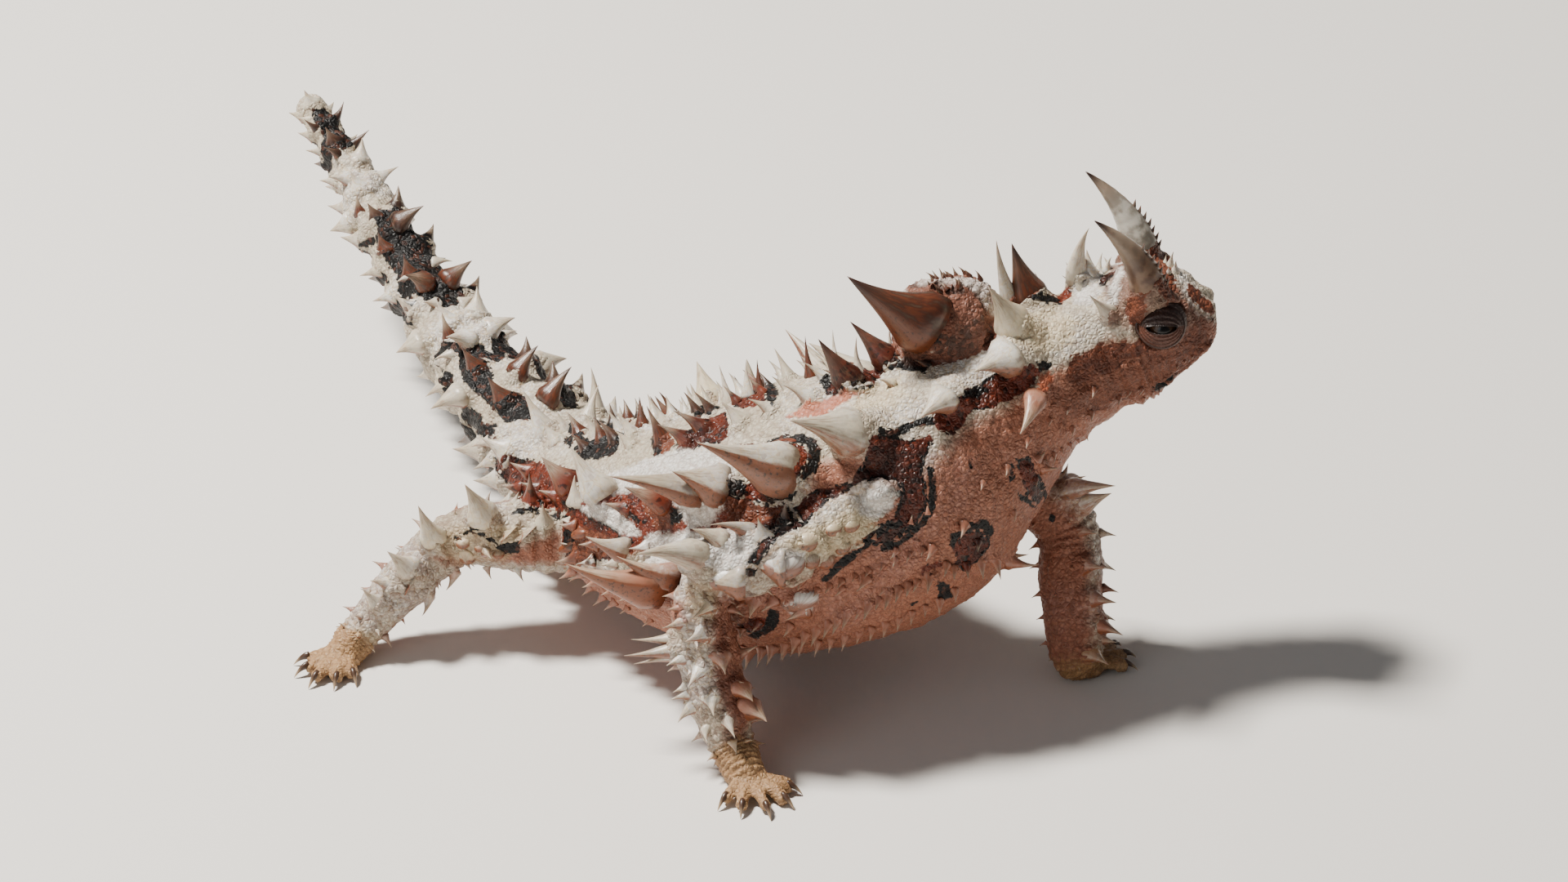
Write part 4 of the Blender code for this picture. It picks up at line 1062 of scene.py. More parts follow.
class Patch:
    """A painted patch: its outline, the plane it lies in, and the tubes it belongs to."""

    def __init__(self, outline, radius=0.0):
        self.outline, self.radius = outline, radius
        w, t, a = places(outline)
        self.tubes, self.middle = set(w.tolist()), outline.mean(0)
        facing = unit(normals_of(w, t, a).mean(0))
        side = unit(np.cross(facing, [0.21, 0.13, 1.0]))
        self.axes = np.array([side, np.cross(facing, side), facing])

    def inside(self, points, normals):
        """How far inside the patch points lie, in mm, and less than 0 outside."""
        if self.radius:
            return self.radius - to_line(points, self.outline)
        local, ring = (points - self.middle) @ self.axes.T, (self.outline - self.middle) @ self.axes.T
        flat, closed = local * (1, 1, 0), np.vstack([ring, ring[:1]]) * (1, 1, 0)
        far = to_line(flat, closed)
        odd = np.zeros(len(points), bool)
        for (x0, y0, _), (x1, y1, _) in zip(closed[:-1], closed[1:]):
            if y0 != y1:
                odd ^= ((y0 > flat[:, 1]) != (y1 > flat[:, 1])) & (
                    flat[:, 0] < (x1 - x0) * (flat[:, 1] - y0) / (y1 - y0) + x0)
        value = np.where(odd, far, -far)
        turned = normals @ self.axes[2] < -0.2
        return np.where(turned | (np.abs(local[:, 2]) > DEEPEST), OUTSIDE, value)


print("the skin can be painted")

# %% [markdown]
# ## The markings of this animal
# Rust patches with black, ragged edges lie on a cream ground. A brown band runs from the eye to the
# shoulder. The tail is banded in black. Each entry is one patch, as it shows in the photograph: the x and
# the y of its corners in turn. A line has its radius in front.

# %% Patches and lines
PATCHES = {
    "rust": [
        [1065, 535, 1085, 530, 1110, 540, 1140, 530, 1142, 545, 1132, 560, 1133, 590, 1135, 620,
         1125, 640, 1110, 650, 1095, 665, 1075, 668, 1055, 660, 1070, 650, 1085, 640, 1100, 625,
         1105, 605, 1098, 590, 1080, 585, 1060, 590, 1040, 600, 1010, 615, 1000, 625, 985, 640, 972, 622,
         1000, 600, 1040, 590, 1055, 570],
        [905, 545, 940, 543, 952, 540, 985, 545, 992, 560, 985, 575, 975, 590, 975, 600, 960, 612,
         940, 617, 915, 614, 906, 600, 918, 590, 922, 575, 912, 560],
        [1018, 440, 1040, 447, 1060, 436, 1075, 430, 1105, 428, 1095, 445, 1080, 460, 1072, 472,
         1050, 476, 1030, 481, 1012, 485, 1008, 478, 1014, 470, 1018, 460],
        [888, 472, 905, 474, 920, 470, 936, 472, 940, 490, 925, 497, 910, 500, 895, 495],
        [855, 520, 870, 512, 888, 505, 893, 520, 890, 538, 880, 543, 862, 545, 850, 552, 848, 565,
         832, 570, 828, 550, 838, 535],
        [765, 603, 780, 608, 800, 600, 818, 605, 828, 622, 822, 640, 800, 645, 785, 640, 775, 625],
        [632, 563, 665, 568, 690, 578, 703, 600, 697, 622, 670, 622, 655, 600, 643, 590],
        [700, 633, 720, 635, 745, 650, 772, 660, 745, 664, 722, 660, 705, 690, 692, 685, 692, 660],
        [1000, 640, 980, 646, 955, 656, 940, 672, 926, 692, 913, 690, 925, 672, 935, 660, 955, 646,
         975, 636, 985, 638],
        [870, 645, 885, 635, 905, 625, 930, 620, 960, 622, 970, 632, 950, 645, 925, 640, 900, 645],
        [1165, 660, 1182, 648, 1200, 650, 1212, 660, 1210, 672, 1195, 690, 1180, 700, 1170, 690],
        [1244, 562, 1262, 560, 1275, 590, 1278, 610, 1270, 618, 1255, 600],
        [905, 765, 925, 755, 940, 758, 940, 772, 915, 775],
        [1125, 695, 1145, 688, 1158, 690, 1145, 696, 1130, 705],
        [1262, 445, 1230, 448, 1212, 462, 1200, 475, 1165, 490, 1145, 503, 1140, 515, 1148, 528,
         1165, 533, 1180, 518, 1190, 503, 1215, 500, 1240, 488, 1258, 478, 1272, 462, 1275, 450],
        [1300, 352, 1310, 350, 1312, 362, 1300, 372, 1290, 368],
        [1345, 322, 1362, 312, 1368, 330, 1355, 350, 1345, 352, 1342, 336],
        [700, 612, 760, 600, 830, 600, 880, 612, 960, 618, 965, 645, 880, 650, 840, 655, 790, 662,
         760, 682, 700, 692, 688, 650, 694, 625],
        [600, 562, 640, 560, 700, 575, 705, 600, 660, 625, 640, 615, 620, 590],
    ],
    "orange": [
        [985, 490, 1005, 490, 1022, 482, 1045, 478, 1062, 481, 1040, 490, 1020, 502, 1008, 510, 980, 511,
         962, 511],
        [1270, 460, 1288, 452, 1286, 475, 1272, 480],
        [770, 655, 800, 652, 800, 662, 785, 675, 765, 680, 755, 675],
        [850, 655, 872, 640, 885, 640, 872, 660, 858, 668],
    ],
    "brown": [
        [1405, 408, 1385, 418, 1345, 421, 1332, 430, 1312, 437, 1306, 455, 1306, 468, 1322, 475,
         1345, 459, 1362, 461, 1378, 442, 1402, 432, 1415, 425],
        [1112, 345, 1130, 338, 1160, 336, 1185, 350, 1205, 360, 1218, 385, 1218, 400, 1190, 418,
         1150, 430, 1115, 425, 1100, 400, 1100, 365],
        [1243, 350, 1262, 340, 1290, 350, 1298, 360, 1270, 368, 1243, 370],
        [703, 515, 715, 535, 735, 540, 750, 520, 750, 545, 738, 555, 716, 554, 706, 540],
        [800, 535, 815, 525, 828, 545, 820, 555, 808, 562, 800, 548],
        [463, 275, 500, 275, 510, 300, 525, 320, 545, 340, 555, 350, 520, 350, 500, 340, 480, 320],
        [575, 440, 600, 458, 610, 480, 640, 490, 645, 502, 620, 505, 600, 485, 580, 465],
        [385, 140, 412, 138, 415, 165, 405, 180, 395, 165],
        [1452, 408, 1480, 398, 1492, 412, 1482, 428, 1460, 442, 1438, 452, 1425, 456, 1440, 432],
        [1418, 325, 1432, 328, 1434, 345, 1428, 360, 1420, 362, 1414, 345],
        [1380, 332, 1400, 322, 1420, 336, 1416, 352, 1400, 362, 1384, 350],
        [1396, 306, 1416, 290, 1432, 312, 1439, 345, 1437, 368, 1420, 364, 1412, 345, 1414, 325],
        [1452, 346, 1464, 352, 1476, 366, 1490, 382, 1486, 390, 1470, 378, 1457, 362],
        # Painted shade: this patch and the last two of the list darken hollows of the hip and the flank.
        [700, 640, 745, 655, 768, 664, 745, 680, 705, 692, 698, 665],
        [1380, 364, 1398, 362, 1404, 380, 1396, 400, 1384, 396, 1378, 380],
        [782, 602, 828, 606, 845, 640, 805, 648, 790, 628],
        [885, 602, 915, 612, 960, 622, 930, 640, 890, 640],
    ],
    "black": [
        [938, 540, 960, 533, 985, 533, 1000, 540, 1008, 550, 1006, 565, 998, 578, 985, 588, 975, 587,
         985, 572, 993, 558, 985, 545, 960, 542],
        [918, 605, 940, 614, 965, 608, 975, 600, 970, 612, 950, 620, 925, 618],
        [870, 590, 900, 583, 912, 590, 915, 605, 905, 612, 888, 603, 878, 600],
        [1005, 462, 1018, 460, 1016, 472, 1008, 480, 1003, 470],
        [1042, 476, 1068, 470, 1076, 462, 1068, 476, 1050, 480],
        [1048, 442, 1068, 440, 1070, 448, 1056, 452],
        [938, 470, 952, 475, 952, 485, 945, 496, 938, 490],
        [886, 480, 900, 478, 905, 490, 892, 492],
        [1085, 449, 1110, 433, 1135, 440, 1150, 428, 1180, 415, 1215, 400, 1212, 410, 1190, 423,
         1165, 433, 1140, 440, 1132, 458, 1110, 452, 1090, 454],
        [1170, 343, 1190, 348, 1206, 358, 1216, 378, 1222, 390, 1212, 388, 1200, 368, 1185, 355],
        [1112, 342, 1130, 338, 1160, 338, 1160, 345, 1140, 347, 1118, 350],
        [1245, 362, 1270, 360, 1296, 364, 1300, 372, 1270, 370, 1247, 374],
        [1268, 443, 1288, 443, 1284, 453, 1270, 455],
        [1180, 478, 1200, 472, 1208, 478, 1195, 488, 1180, 487],
        [700, 512, 712, 530, 735, 535, 744, 520, 757, 515, 758, 535, 752, 556, 740, 562, 708, 562,
         703, 550, 712, 540, 695, 530],
        [690, 532, 704, 532, 698, 548, 690, 542],
        [797, 535, 806, 530, 812, 550, 805, 568, 798, 555],
        [845, 505, 870, 498, 882, 503, 868, 510, 852, 512],
        [818, 620, 834, 618, 834, 640, 822, 642],
        [765, 610, 776, 628, 790, 640, 780, 642, 768, 630],
        [810, 700, 828, 704, 836, 718, 820, 716],
        [955, 628, 970, 626, 972, 640, 958, 640],
        [917, 672, 926, 670, 926, 688, 918, 686],
        [910, 697, 926, 694, 926, 708, 914, 706],
        [1096, 598, 1104, 600, 1102, 610, 1096, 606],
        [1160, 668, 1164, 655, 1176, 650, 1180, 652, 1168, 668],
        [1182, 640, 1196, 640, 1200, 634, 1208, 636, 1218, 650, 1214, 656, 1198, 648, 1184, 652],
        [1176, 680, 1184, 682, 1184, 690, 1177, 688],
        [1234, 568, 1240, 568, 1244, 585, 1238, 590],
        [1184, 562, 1190, 562, 1190, 574, 1184, 574],
        [1244, 600, 1262, 612, 1270, 622, 1256, 616, 1248, 610],
        # Painted shade: this black patch and the next darken the far side of the belly.
        [1142, 708, 1162, 716, 1166, 730, 1152, 736, 1148, 722],
        [1112, 738, 1124, 736, 1118, 742],
        [942, 745, 955, 750, 950, 770, 925, 782, 912, 778, 935, 768],
        [612, 668, 620, 664, 636, 664, 634, 676, 618, 678],
        [690, 648, 702, 644, 704, 660, 698, 680, 690, 672],
        [455, 260, 480, 258, 505, 268, 512, 300, 525, 315, 545, 335, 562, 345, 565, 360, 560, 374,
         540, 379, 525, 373, 505, 362, 488, 356, 485, 335, 475, 325, 460, 300, 463, 280],
        [440, 295, 460, 289, 458, 300, 440, 304],
        [450, 320, 470, 335, 477, 347, 462, 347, 448, 330],
        [483, 370, 500, 382, 507, 400, 490, 392, 478, 376],
        [535, 447, 556, 458, 554, 472, 545, 480, 537, 470, 542, 460],
        [565, 498, 590, 508, 607, 522, 607, 537, 590, 534, 575, 522, 563, 508],
        [565, 424, 575, 432, 600, 443, 606, 475, 620, 480, 652, 488, 660, 500, 657, 514, 620, 517,
         600, 497, 585, 482, 568, 468, 561, 450, 561, 435],
        [603, 408, 619, 403, 620, 440, 605, 438, 601, 425],
        [383, 132, 400, 136, 420, 130, 424, 166, 442, 168, 432, 181, 411, 186, 402, 218, 388, 196,
         398, 170, 384, 150],
        [1440, 457, 1449, 455, 1442, 466, 1430, 464],
        [1414, 470, 1432, 466, 1420, 480, 1414, 479],
    ],
    "pale": [
        [1050, 612, 1062, 598, 1080, 592, 1098, 600, 1096, 615, 1085, 628, 1070, 636, 1055, 630],
        [705, 620, 735, 618, 760, 620, 775, 640, 785, 655, 770, 656, 750, 646, 720, 630],
        [1120, 330, 1135, 322, 1165, 320, 1200, 330, 1215, 350, 1222, 375, 1218, 382, 1205, 358,
         1185, 344, 1160, 336, 1130, 338],
        [1313, 352, 1343, 345, 1348, 360, 1336, 374, 1315, 372],
        [1305, 330, 1345, 325, 1350, 340, 1310, 346],
        [820, 597, 885, 597, 886, 620, 868, 644, 842, 644, 826, 620],
        [796, 655, 862, 650, 872, 680, 842, 700, 800, 692, 782, 680],
        [852, 650, 905, 652, 925, 655, 912, 690, 880, 702, 862, 690],
        [935, 692, 958, 673, 984, 676, 984, 696, 962, 708, 942, 706],
        [868, 712, 890, 700, 912, 700, 908, 720, 885, 724],
        [960, 742, 980, 726, 1002, 728, 995, 745, 970, 752],
        [703, 556, 725, 585, 760, 575, 800, 560, 840, 550, 875, 555, 902, 572, 900, 588, 868, 594,
         820, 596, 790, 592, 740, 604, 722, 600, 706, 578],
    ],
    "yellow": [
        [1010, 640, 1040, 622, 1070, 636, 1075, 650, 1050, 665, 1020, 680, 985, 680, 960, 672, 940, 674,
         965, 656, 985, 646],
        [1060, 470, 1100, 462, 1110, 480, 1105, 495, 1065, 500, 1040, 505, 1045, 490],
        [1235, 385, 1290, 375, 1320, 395, 1310, 420, 1270, 430, 1235, 420],
        [540, 650, 600, 640, 640, 650, 620, 685, 560, 690, 530, 670],
        [840, 710, 880, 715, 870, 760, 850, 760, 838, 735],
        [410, 780, 440, 765, 480, 780, 470, 800, 430, 815, 408, 800],
    ],
    # The tan patches are partly the skin's own tan and partly painted shade on the lower head, belly and
    # forearm.
    "tan": [
        [1000, 562, 1066, 556, 1072, 585, 1050, 592, 1010, 612, 990, 602],
        [530, 682, 620, 690, 690, 692, 688, 655, 640, 668, 560, 694],
        [876, 722, 905, 740, 918, 800, 930, 880, 905, 905, 886, 850, 872, 780],
        [700, 700, 780, 730, 840, 735, 838, 760, 780, 752, 700, 718],
        [1330, 470, 1400, 440, 1420, 470, 1350, 500],
    ],
    # The first patch, on the lower side of the head, is partly brown skin and partly painted shade; the
    # second, on the side of the near forearm turned from the light, is painted shade; the third is brown
    # skin by the eye.
    "umber": [
        [1348, 392, 1358, 330, 1382, 296, 1420, 318, 1440, 345, 1455, 368, 1470, 385, 1490, 386,
         1495, 410, 1470, 445, 1420, 478, 1350, 500, 1300, 520, 1285, 475, 1310, 482, 1340, 462,
         1375, 445, 1400, 430, 1388, 405, 1360, 398],
        [886, 745, 906, 850, 920, 905, 884, 914, 880, 850, 877, 790],
        [1370, 350, 1396, 356, 1404, 380, 1396, 404, 1374, 398, 1364, 378],
    ],
}
LINES = {
    "black": [
        (0.45, [1140, 575, 1142, 600, 1140, 620, 1130, 640, 1120, 650]),
        (0.5, [1115, 655, 1100, 666, 1082, 671]),
        (0.5, [1080, 527, 1095, 533, 1112, 522, 1130, 516, 1142, 515]),
        (0.55, [1100, 641, 1080, 646, 1070, 656, 1060, 666, 1040, 681, 1025, 696, 1012, 708]),
        (0.45, [662, 616, 690, 617, 700, 622, 722, 633, 740, 641, 757, 650]),
        (0.35, [540, 655, 560, 658, 575, 650, 584, 648, 600, 660, 612, 670]),
        (0.35, [628, 627, 645, 624, 660, 625]),
        (0.35, [664, 628, 680, 632, 692, 634]),
        (0.5, [1272, 590, 1280, 610, 1288, 636]),
        (0.3, [1310, 350, 1330, 344, 1348, 342]),
        (0.3, [640, 566, 600, 562]),
        (0.4, [745, 662, 772, 661]),
        (0.5, [1118, 350, 1150, 352, 1178, 356]),
    ],
    "brown": [
        # Painted shade: the first brown line darkens the fold of the throat below the mouth's corner.
        (0.3, [1342, 501, 1364, 496, 1386, 488]),
        (0.3, [1396, 430, 1412, 436, 1432, 434]),
        (2.0, [1136, 418, 1150, 410, 1160, 402, 1168, 390]),
    ],
    "pale": [
        (0.7, [1130, 343, 1160, 341, 1188, 347, 1206, 360, 1216, 382]),
        (0.5, [1372, 330, 1366, 352, 1360, 372]),
        (0.5, [1440, 330, 1450, 342]),
    ],
}
drawn = [(kind, 0.0, row) for kind, rows in PATCHES.items() for row in rows]
drawn += [(kind, radius, row) for kind, rows in LINES.items() for radius, row in rows]
print("patches and lines:", len(drawn))

# %% [markdown]
# ## Fields for the markings
# Each marking becomes a field: for each point of the skin, how far it lies inside the marking. Patches that
# cross the back's middle line get no mirror image. The tail's bands, the tan of the belly and the ochre of
# the legs follow stations and angles, so they are written as sums. That tan is partly the skin's own colour
# and partly painted shade on the belly, the lower flanks and the inner sides of the legs.

# %% How far inside each marking
PAINT = {kind: [] for kind in PATCHES}
for kind, radius, row in drawn:
    points = carried(np.reshape(row, (-1, 2)))
    if len(points) < 2:
        continue
    PAINT[kind].append(Patch(points, radius))
    w, t, angle = places(points)
    if BODY not in w or abs(angle.mean() - midline(t.mean())) >= MIDDLE:
        PAINT[kind].append(Patch(other_side(points), radius))
BANDS, BAND_SLOPE = ((0.2, 0.85), (1.6, 2.55), (3.15, 3.7)), 15.0
TAN_AND_SHADE_EDGE = ((TAIL_END, 6.0, 7.0, 8.0, 9.0, 10.0, 11.0, 12.0, 13.0, 14.5, 18.0),
            (112.0, 104.0, 102.0, 92.0, 76.0, 72.0, 78.0, 76.0, 80.0, 74.0, 60.0))


def kept(field):
    """A field without its far ends, which paint nothing more."""
    return np.clip(field, OUTSIDE, -OUTSIDE)


def marks_at(points, normals, w, t, a):
    """For each marking, how far inside it the points lie, in mm; less than 0 is outside."""
    out = {}
    for kind, patches in PAINT.items():
        field = np.full(len(points), OUTSIDE)
        for patch in patches:
            low, high = patch.outline.min(0) - 4.0, patch.outline.max(0) + 4.0
            near = np.flatnonzero(((points > low) & (points < high)).all(1) & np.isin(w, list(patch.tubes)))
            if len(near):
                field[near] = np.maximum(field[near], patch.inside(points[near], normals[near]))
        out[kind] = kept(field)
    body_here, tail_here = w == BODY, t < TAIL_END
    hidden = body_here & tail_here & ((a > 75.0) | (a < -110.0))
    bands = np.max([np.minimum(t - start, stop - t) * BAND_SLOPE for start, stop in BANDS], axis=0)
    out["black"] = np.where(hidden, kept(np.maximum(bands, out["black"])), out["black"])
    # Painted shade, in part: the tan wash darkens the belly, the lower flanks and the inner sides of the
    # legs, over the skin's own tan.
    tan = (from_back(t, a) - np.interp(t, *TAN_AND_SHADE_EDGE)) / 7.0
    inner = (np.abs((a + 180.0) % 360.0 - 180.0) - 90.0) / 20.0
    wash = kept(np.where(body_here, np.where(tail_here, OUTSIDE, tan), inner))
    out["tan"] = np.maximum(out["tan"], wash)
    out["ochre"] = np.where(body_here, OUTSIDE, kept((t - 4.1) * 6.0))
    # The lower legs get a little umber: partly their own colour and partly painted shade.
    out["umber"] = np.where(body_here, out["umber"], np.maximum(out["umber"], np.minimum(t - 1.6, -0.2)))
    return out


normals = np.zeros(count * 3)
skin_mesh.vertices.foreach_get("normal", normals)
normals = normals.reshape(-1, 3)
marks = marks_at(spots, normals, which, skin_t, skin_a)
for name, field in marks.items():
    give(skin_mesh, name, field)
    print(f"{name}: {(field > 0).mean():.1%} of the skin")

# %% [markdown]
# ## Relief
# The even mesh is now pushed in and out along its normals: pebble scales everywhere, larger ones on the
# knob, wrinkles in the skin, the line of the mouth, the nostrils and a round fold where each eye sits.

# %% Scales, folds, mouth and eye folds
def smooth(x, low, high):
    """0 below low, 1 above high, and an even step between."""
    s = np.clip((x - low) / (high - low), 0.0, 1.0)
    return s * s * (3.0 - 2.0 * s)


def bell(x, middle, width):
    """1 at the middle, and down to 0 within about twice the width on both sides."""
    return np.exp(-((x - middle) / width) ** 2)


head = (spots - np.array(SNOUT)) @ HEAD_AXES.T
back, out, above = -head[:, 0], head[:, 1], head[:, 2]
knob_axes = np.array([knob_ahead, knob_left, knob_up])
knob_local = (spots - knob_centre) @ knob_axes.T / (np.array(KNOB_SIZE) + 0.4)
on_knob = smooth(-np.linalg.norm(knob_local, axis=1), -1.12, -0.98) * on_body

PEBBLE, DOME, PLATE = 0.9, 1.25, 2.3
pebble = smooth(cells(spots, PEBBLE, 3)[0], 0.0, 0.45)
dome = smooth(cells(spots, DOME, 4)[0], 0.0, 0.5)
border, tag = cells(spots, PLATE, 6)
plate = smooth(border, 0.05, 0.5) * (tag > 0.55)
beaded = np.maximum(on_knob, 0.8 * smooth(marks["rust"], -0.3, 0.4))
height = (0.09 * (pebble - 0.6) + 0.18 * plate) * (1.0 - beaded) + 0.24 * (dome - 0.6) * beaded
height += 0.16 * soft_noise(spots, 3.2) + 0.09 * soft_noise(spots, 1.5, 8)

THROAT_FOLDS, LEG_WRINKLES = 2.6, 6.5
throat = on_body * smooth(from_back(skin_t, skin_a), 70.0, 100.0)
throat = throat * smooth(skin_t, 10.6, 11.4) * smooth(-skin_t, -14.4, -13.2)
height += 0.2 * throat * np.sin(skin_t * 2 * math.pi * THROAT_FOLDS + 1.5 * soft_noise(spots, 6.0, 12))
joint = on_leg * (bell(skin_t, 0.9, 0.35) + bell(skin_t, 2.1, 0.25) + smooth(skin_t, 3.7, 4.1))
wrinkles = np.sin(skin_t * 2 * math.pi * LEG_WRINKLES + 1.8 * soft_noise(spots, 4.0, 13))
height += 0.15 * joint * wrinkles

MOUTH_LINE = [(-0.6, -1.1), (2.4, -2.4), (5.2, -4.6), (8.6, -6.0)]
apart = above - np.interp(back, *zip(*MOUTH_LINE))
in_mouth = smooth(-back, -9.0, -7.6) * smooth(back, -1.2, -0.6) * on_body
height += in_mouth * (-0.42 * bell(apart, 0.0, 0.2) + 0.12 * bell(apart, 0.62, 0.3)
                      + 0.08 * bell(apart, -0.6, 0.3))
NOSTRIL = (1.7, 2.4, 2.2)
for side in (1.0, -1.0):
    hole = np.stack([back - NOSTRIL[0], out - NOSTRIL[1] * side, above - NOSTRIL[2]], 1)
    apart = np.linalg.norm(hole, axis=1)
    height += -0.5 * bell(apart, 0.0, 0.42) + 0.12 * bell(apart, 0.85, 0.25)
    from_eye = np.hypot(back - EYE[0] - 0.25, above - EYE[2] - 0.55)
    beside = (out * side > 2.5) & on_body
    height += beside * (-1.3 * smooth(-from_eye, -2.75, -2.3) - 0.32 * bell(from_eye, 3.0, 0.28)
                        + 0.24 * bell(from_eye, 3.6, 0.42))
print("relief from", height.min().round(2), "to", height.max().round(2), "mm")

# %% [markdown]
# ## The finished skin
# The relief moves the points along their normals. The hollows between scales and in the wrinkles, and the
# knob on the nape,
# are written on the mesh too: the hollows get painted shade and the knob is painted browner.

# %% The skin as a piece
spots = spots + normals * height[:, None]
spots[:, 2] = np.maximum(spots[:, 2], 0.0)
skin_mesh.vertices.foreach_set("co", placed(spots).astype(np.float32).ravel())
skin_mesh.update()
skin_mesh.shade_smooth()
# Painted shade: how deep each point lies in a hollow between scales or in a wrinkle's trough.
hollow_shade = smooth(0.5 - pebble, 0.0, 0.45) * (1.0 - beaded) + smooth(0.5 - dome, 0.0, 0.45) * beaded
give(skin_mesh, "hollow_shade", np.maximum(hollow_shade, joint * smooth(-wrinkles, 0.35, 0.9)))
knob_local[:, 2] *= np.where(knob_local[:, 2] < 0, KNOB_SIZE[2] / KNOB_ROOT, 1.0)
knob_field = np.where(on_body, kept((1.22 - np.linalg.norm(knob_local, axis=1)) * 5.0), OUTSIDE)
give(skin_mesh, "brown", np.maximum(marks["brown"], knob_field))
give(skin_mesh, "knob", knob_field)
FLESH_NODES = [n for n in frame["nodes"] if not n.startswith(("eye_", "brow_horn_"))]
put("skin", skin_mesh, "skin", *FLESH_NODES)
print("the skin stands for", len(FLESH_NODES), "solids")

# %% [markdown]
# ## Finishes written as sums
# A finish is a tree of nodes. Written out one node at a time it is long and hard to read, so a small
# class wraps a socket: adding or multiplying two values adds the Math node for it.

# %% A socket that can do sums
class Value:
    """An output of a node, used in sums."""

    def __init__(self, finish, socket):
        self.finish, self.socket = finish, socket

    def sum(self, operation, one, two):
        """A Math node of two values."""
        return self.finish.add("ShaderNodeMath", {"operation": operation}, {0: one, 1: two})

    def __add__(self, other): return self.sum("ADD", self, other)
    def __radd__(self, other): return self.sum("ADD", self, other)
    def __sub__(self, other): return self.sum("SUBTRACT", self, other)
    def __rsub__(self, other): return self.sum("SUBTRACT", other, self)
    def __mul__(self, other): return self.sum("MULTIPLY", self, other)

    def step(self, low, high, start=0.0, stop=1.0):
        """Start below low, stop above high, and a smooth step between."""
        sockets = {"Value": self, "From Min": low, "From Max": high, "To Min": start, "To Max": stop}
        return self.finish.add("ShaderNodeMapRange", {"interpolation_type": "SMOOTHSTEP"}, sockets)


class Finish:
    """A material and its nodes."""

    def __init__(self, name):
        self.material = bpy.data.materials.new(name)
        self.material.use_nodes = True
        self.tree = self.material.node_tree
        self.shader = self.tree.nodes["Principled BSDF"]

    def add(self, kind, settings=None, sockets=None, out=0):
        """A node of a type, with its settings and the values or links of its sockets."""
        node = self.tree.nodes.new(kind)
        for key, value in (settings or {}).items():
            setattr(node, key, value)
        for key, value in (sockets or {}).items():
            if isinstance(value, Value):
                self.tree.links.new(value.socket, node.inputs[key])
            else:
                node.inputs[key].default_value = value
        return Value(self, node.outputs[out])

    def attribute(self, name):
        """A named value of the mesh."""
        return self.add("ShaderNodeAttribute", {"attribute_name": name}, out="Fac")

    def mix(self, factor, a, b, blend="MIX"):
        """One colour over another, or the two multiplied."""
        sockets = {0: factor, 6: a, 7: b}
        return self.add("ShaderNodeMix", {"data_type": "RGBA", "blend_type": blend}, sockets, 2)

    def position(self):
        """The place of each point on the object, in metres."""
        return self.add("ShaderNodeTexCoord", out="Object")

    def noise(self, at, scale, detail=2.0):
        """Soft noise; a higher scale makes it finer."""
        return self.add("ShaderNodeTexNoise", None, {"Vector": at, "Scale": scale, "Detail": detail}, "Fac")

    def voronoi(self, at, scale, out, feature="F1"):
        """Cells: the distance to their seeds or borders, or a colour for each."""
        return self.add("ShaderNodeTexVoronoi", {"feature": feature}, {"Vector": at, "Scale": scale}, out)

    def bump(self, strength, distance, height):
        """Fine relief that only bends the light; the distance is in metres."""
        sockets = {"Strength": strength, "Distance": distance, "Height": height}
        return self.add("ShaderNodeBump", None, sockets, "Normal")

    def set(self, **sockets):
        """Values and links of the shader's own sockets."""
        for key, value in sockets.items():
            key = key.replace("_", " ")
            if isinstance(value, Value):
                self.tree.links.new(value.socket, self.shader.inputs[key])
            else:
                self.shader.inputs[key].default_value = value


def tint(red, green, blue):
    """A colour given as it looks on a screen, from 0 to 255."""
    shares = [c / 255.0 for c in (red, green, blue)]
    return (*[c / 12.92 if c <= 0.04045 else ((c + 0.055) / 1.055) ** 2.4 for c in shares], 1.0)


print("a mid grey is", round(tint(128, 128, 128)[0], 3), "in light")

# %% [markdown]
# ## The painted ground
# Skin and thorns share one set of colours. Each marking is a number on the mesh that is positive inside.
# A threshold turns it into a mask. Before that the number is shaken by noise and by a random value for each
# scale, so that the edge runs along scales, ragged as on the animal, and not like a line of ink.

# %% Colours of skin and thorns
CREAM, WHITE, GREY = tint(192, 181, 160), tint(216, 212, 205), tint(140, 130, 120)
RUST, RUST_DARK, ORANGE = tint(104, 45, 29), tint(62, 29, 21), tint(182, 88, 52)
# TAN_AND_SHADE is partly the belly's own colour and partly painted shade.
BROWN, BLACK, TAN_AND_SHADE = tint(116, 66, 46), tint(10, 8, 7), tint(150, 80, 52)
# UMBER_AND_SHADE is partly brown mottling and partly painted shade on the lower head and the forearm's
# shaded side.
OCHRE, YELLOW, UMBER_AND_SHADE = tint(172, 134, 92), tint(212, 194, 154), tint(106, 60, 42)
SCALES, VEINS = 1700.0, 620.0


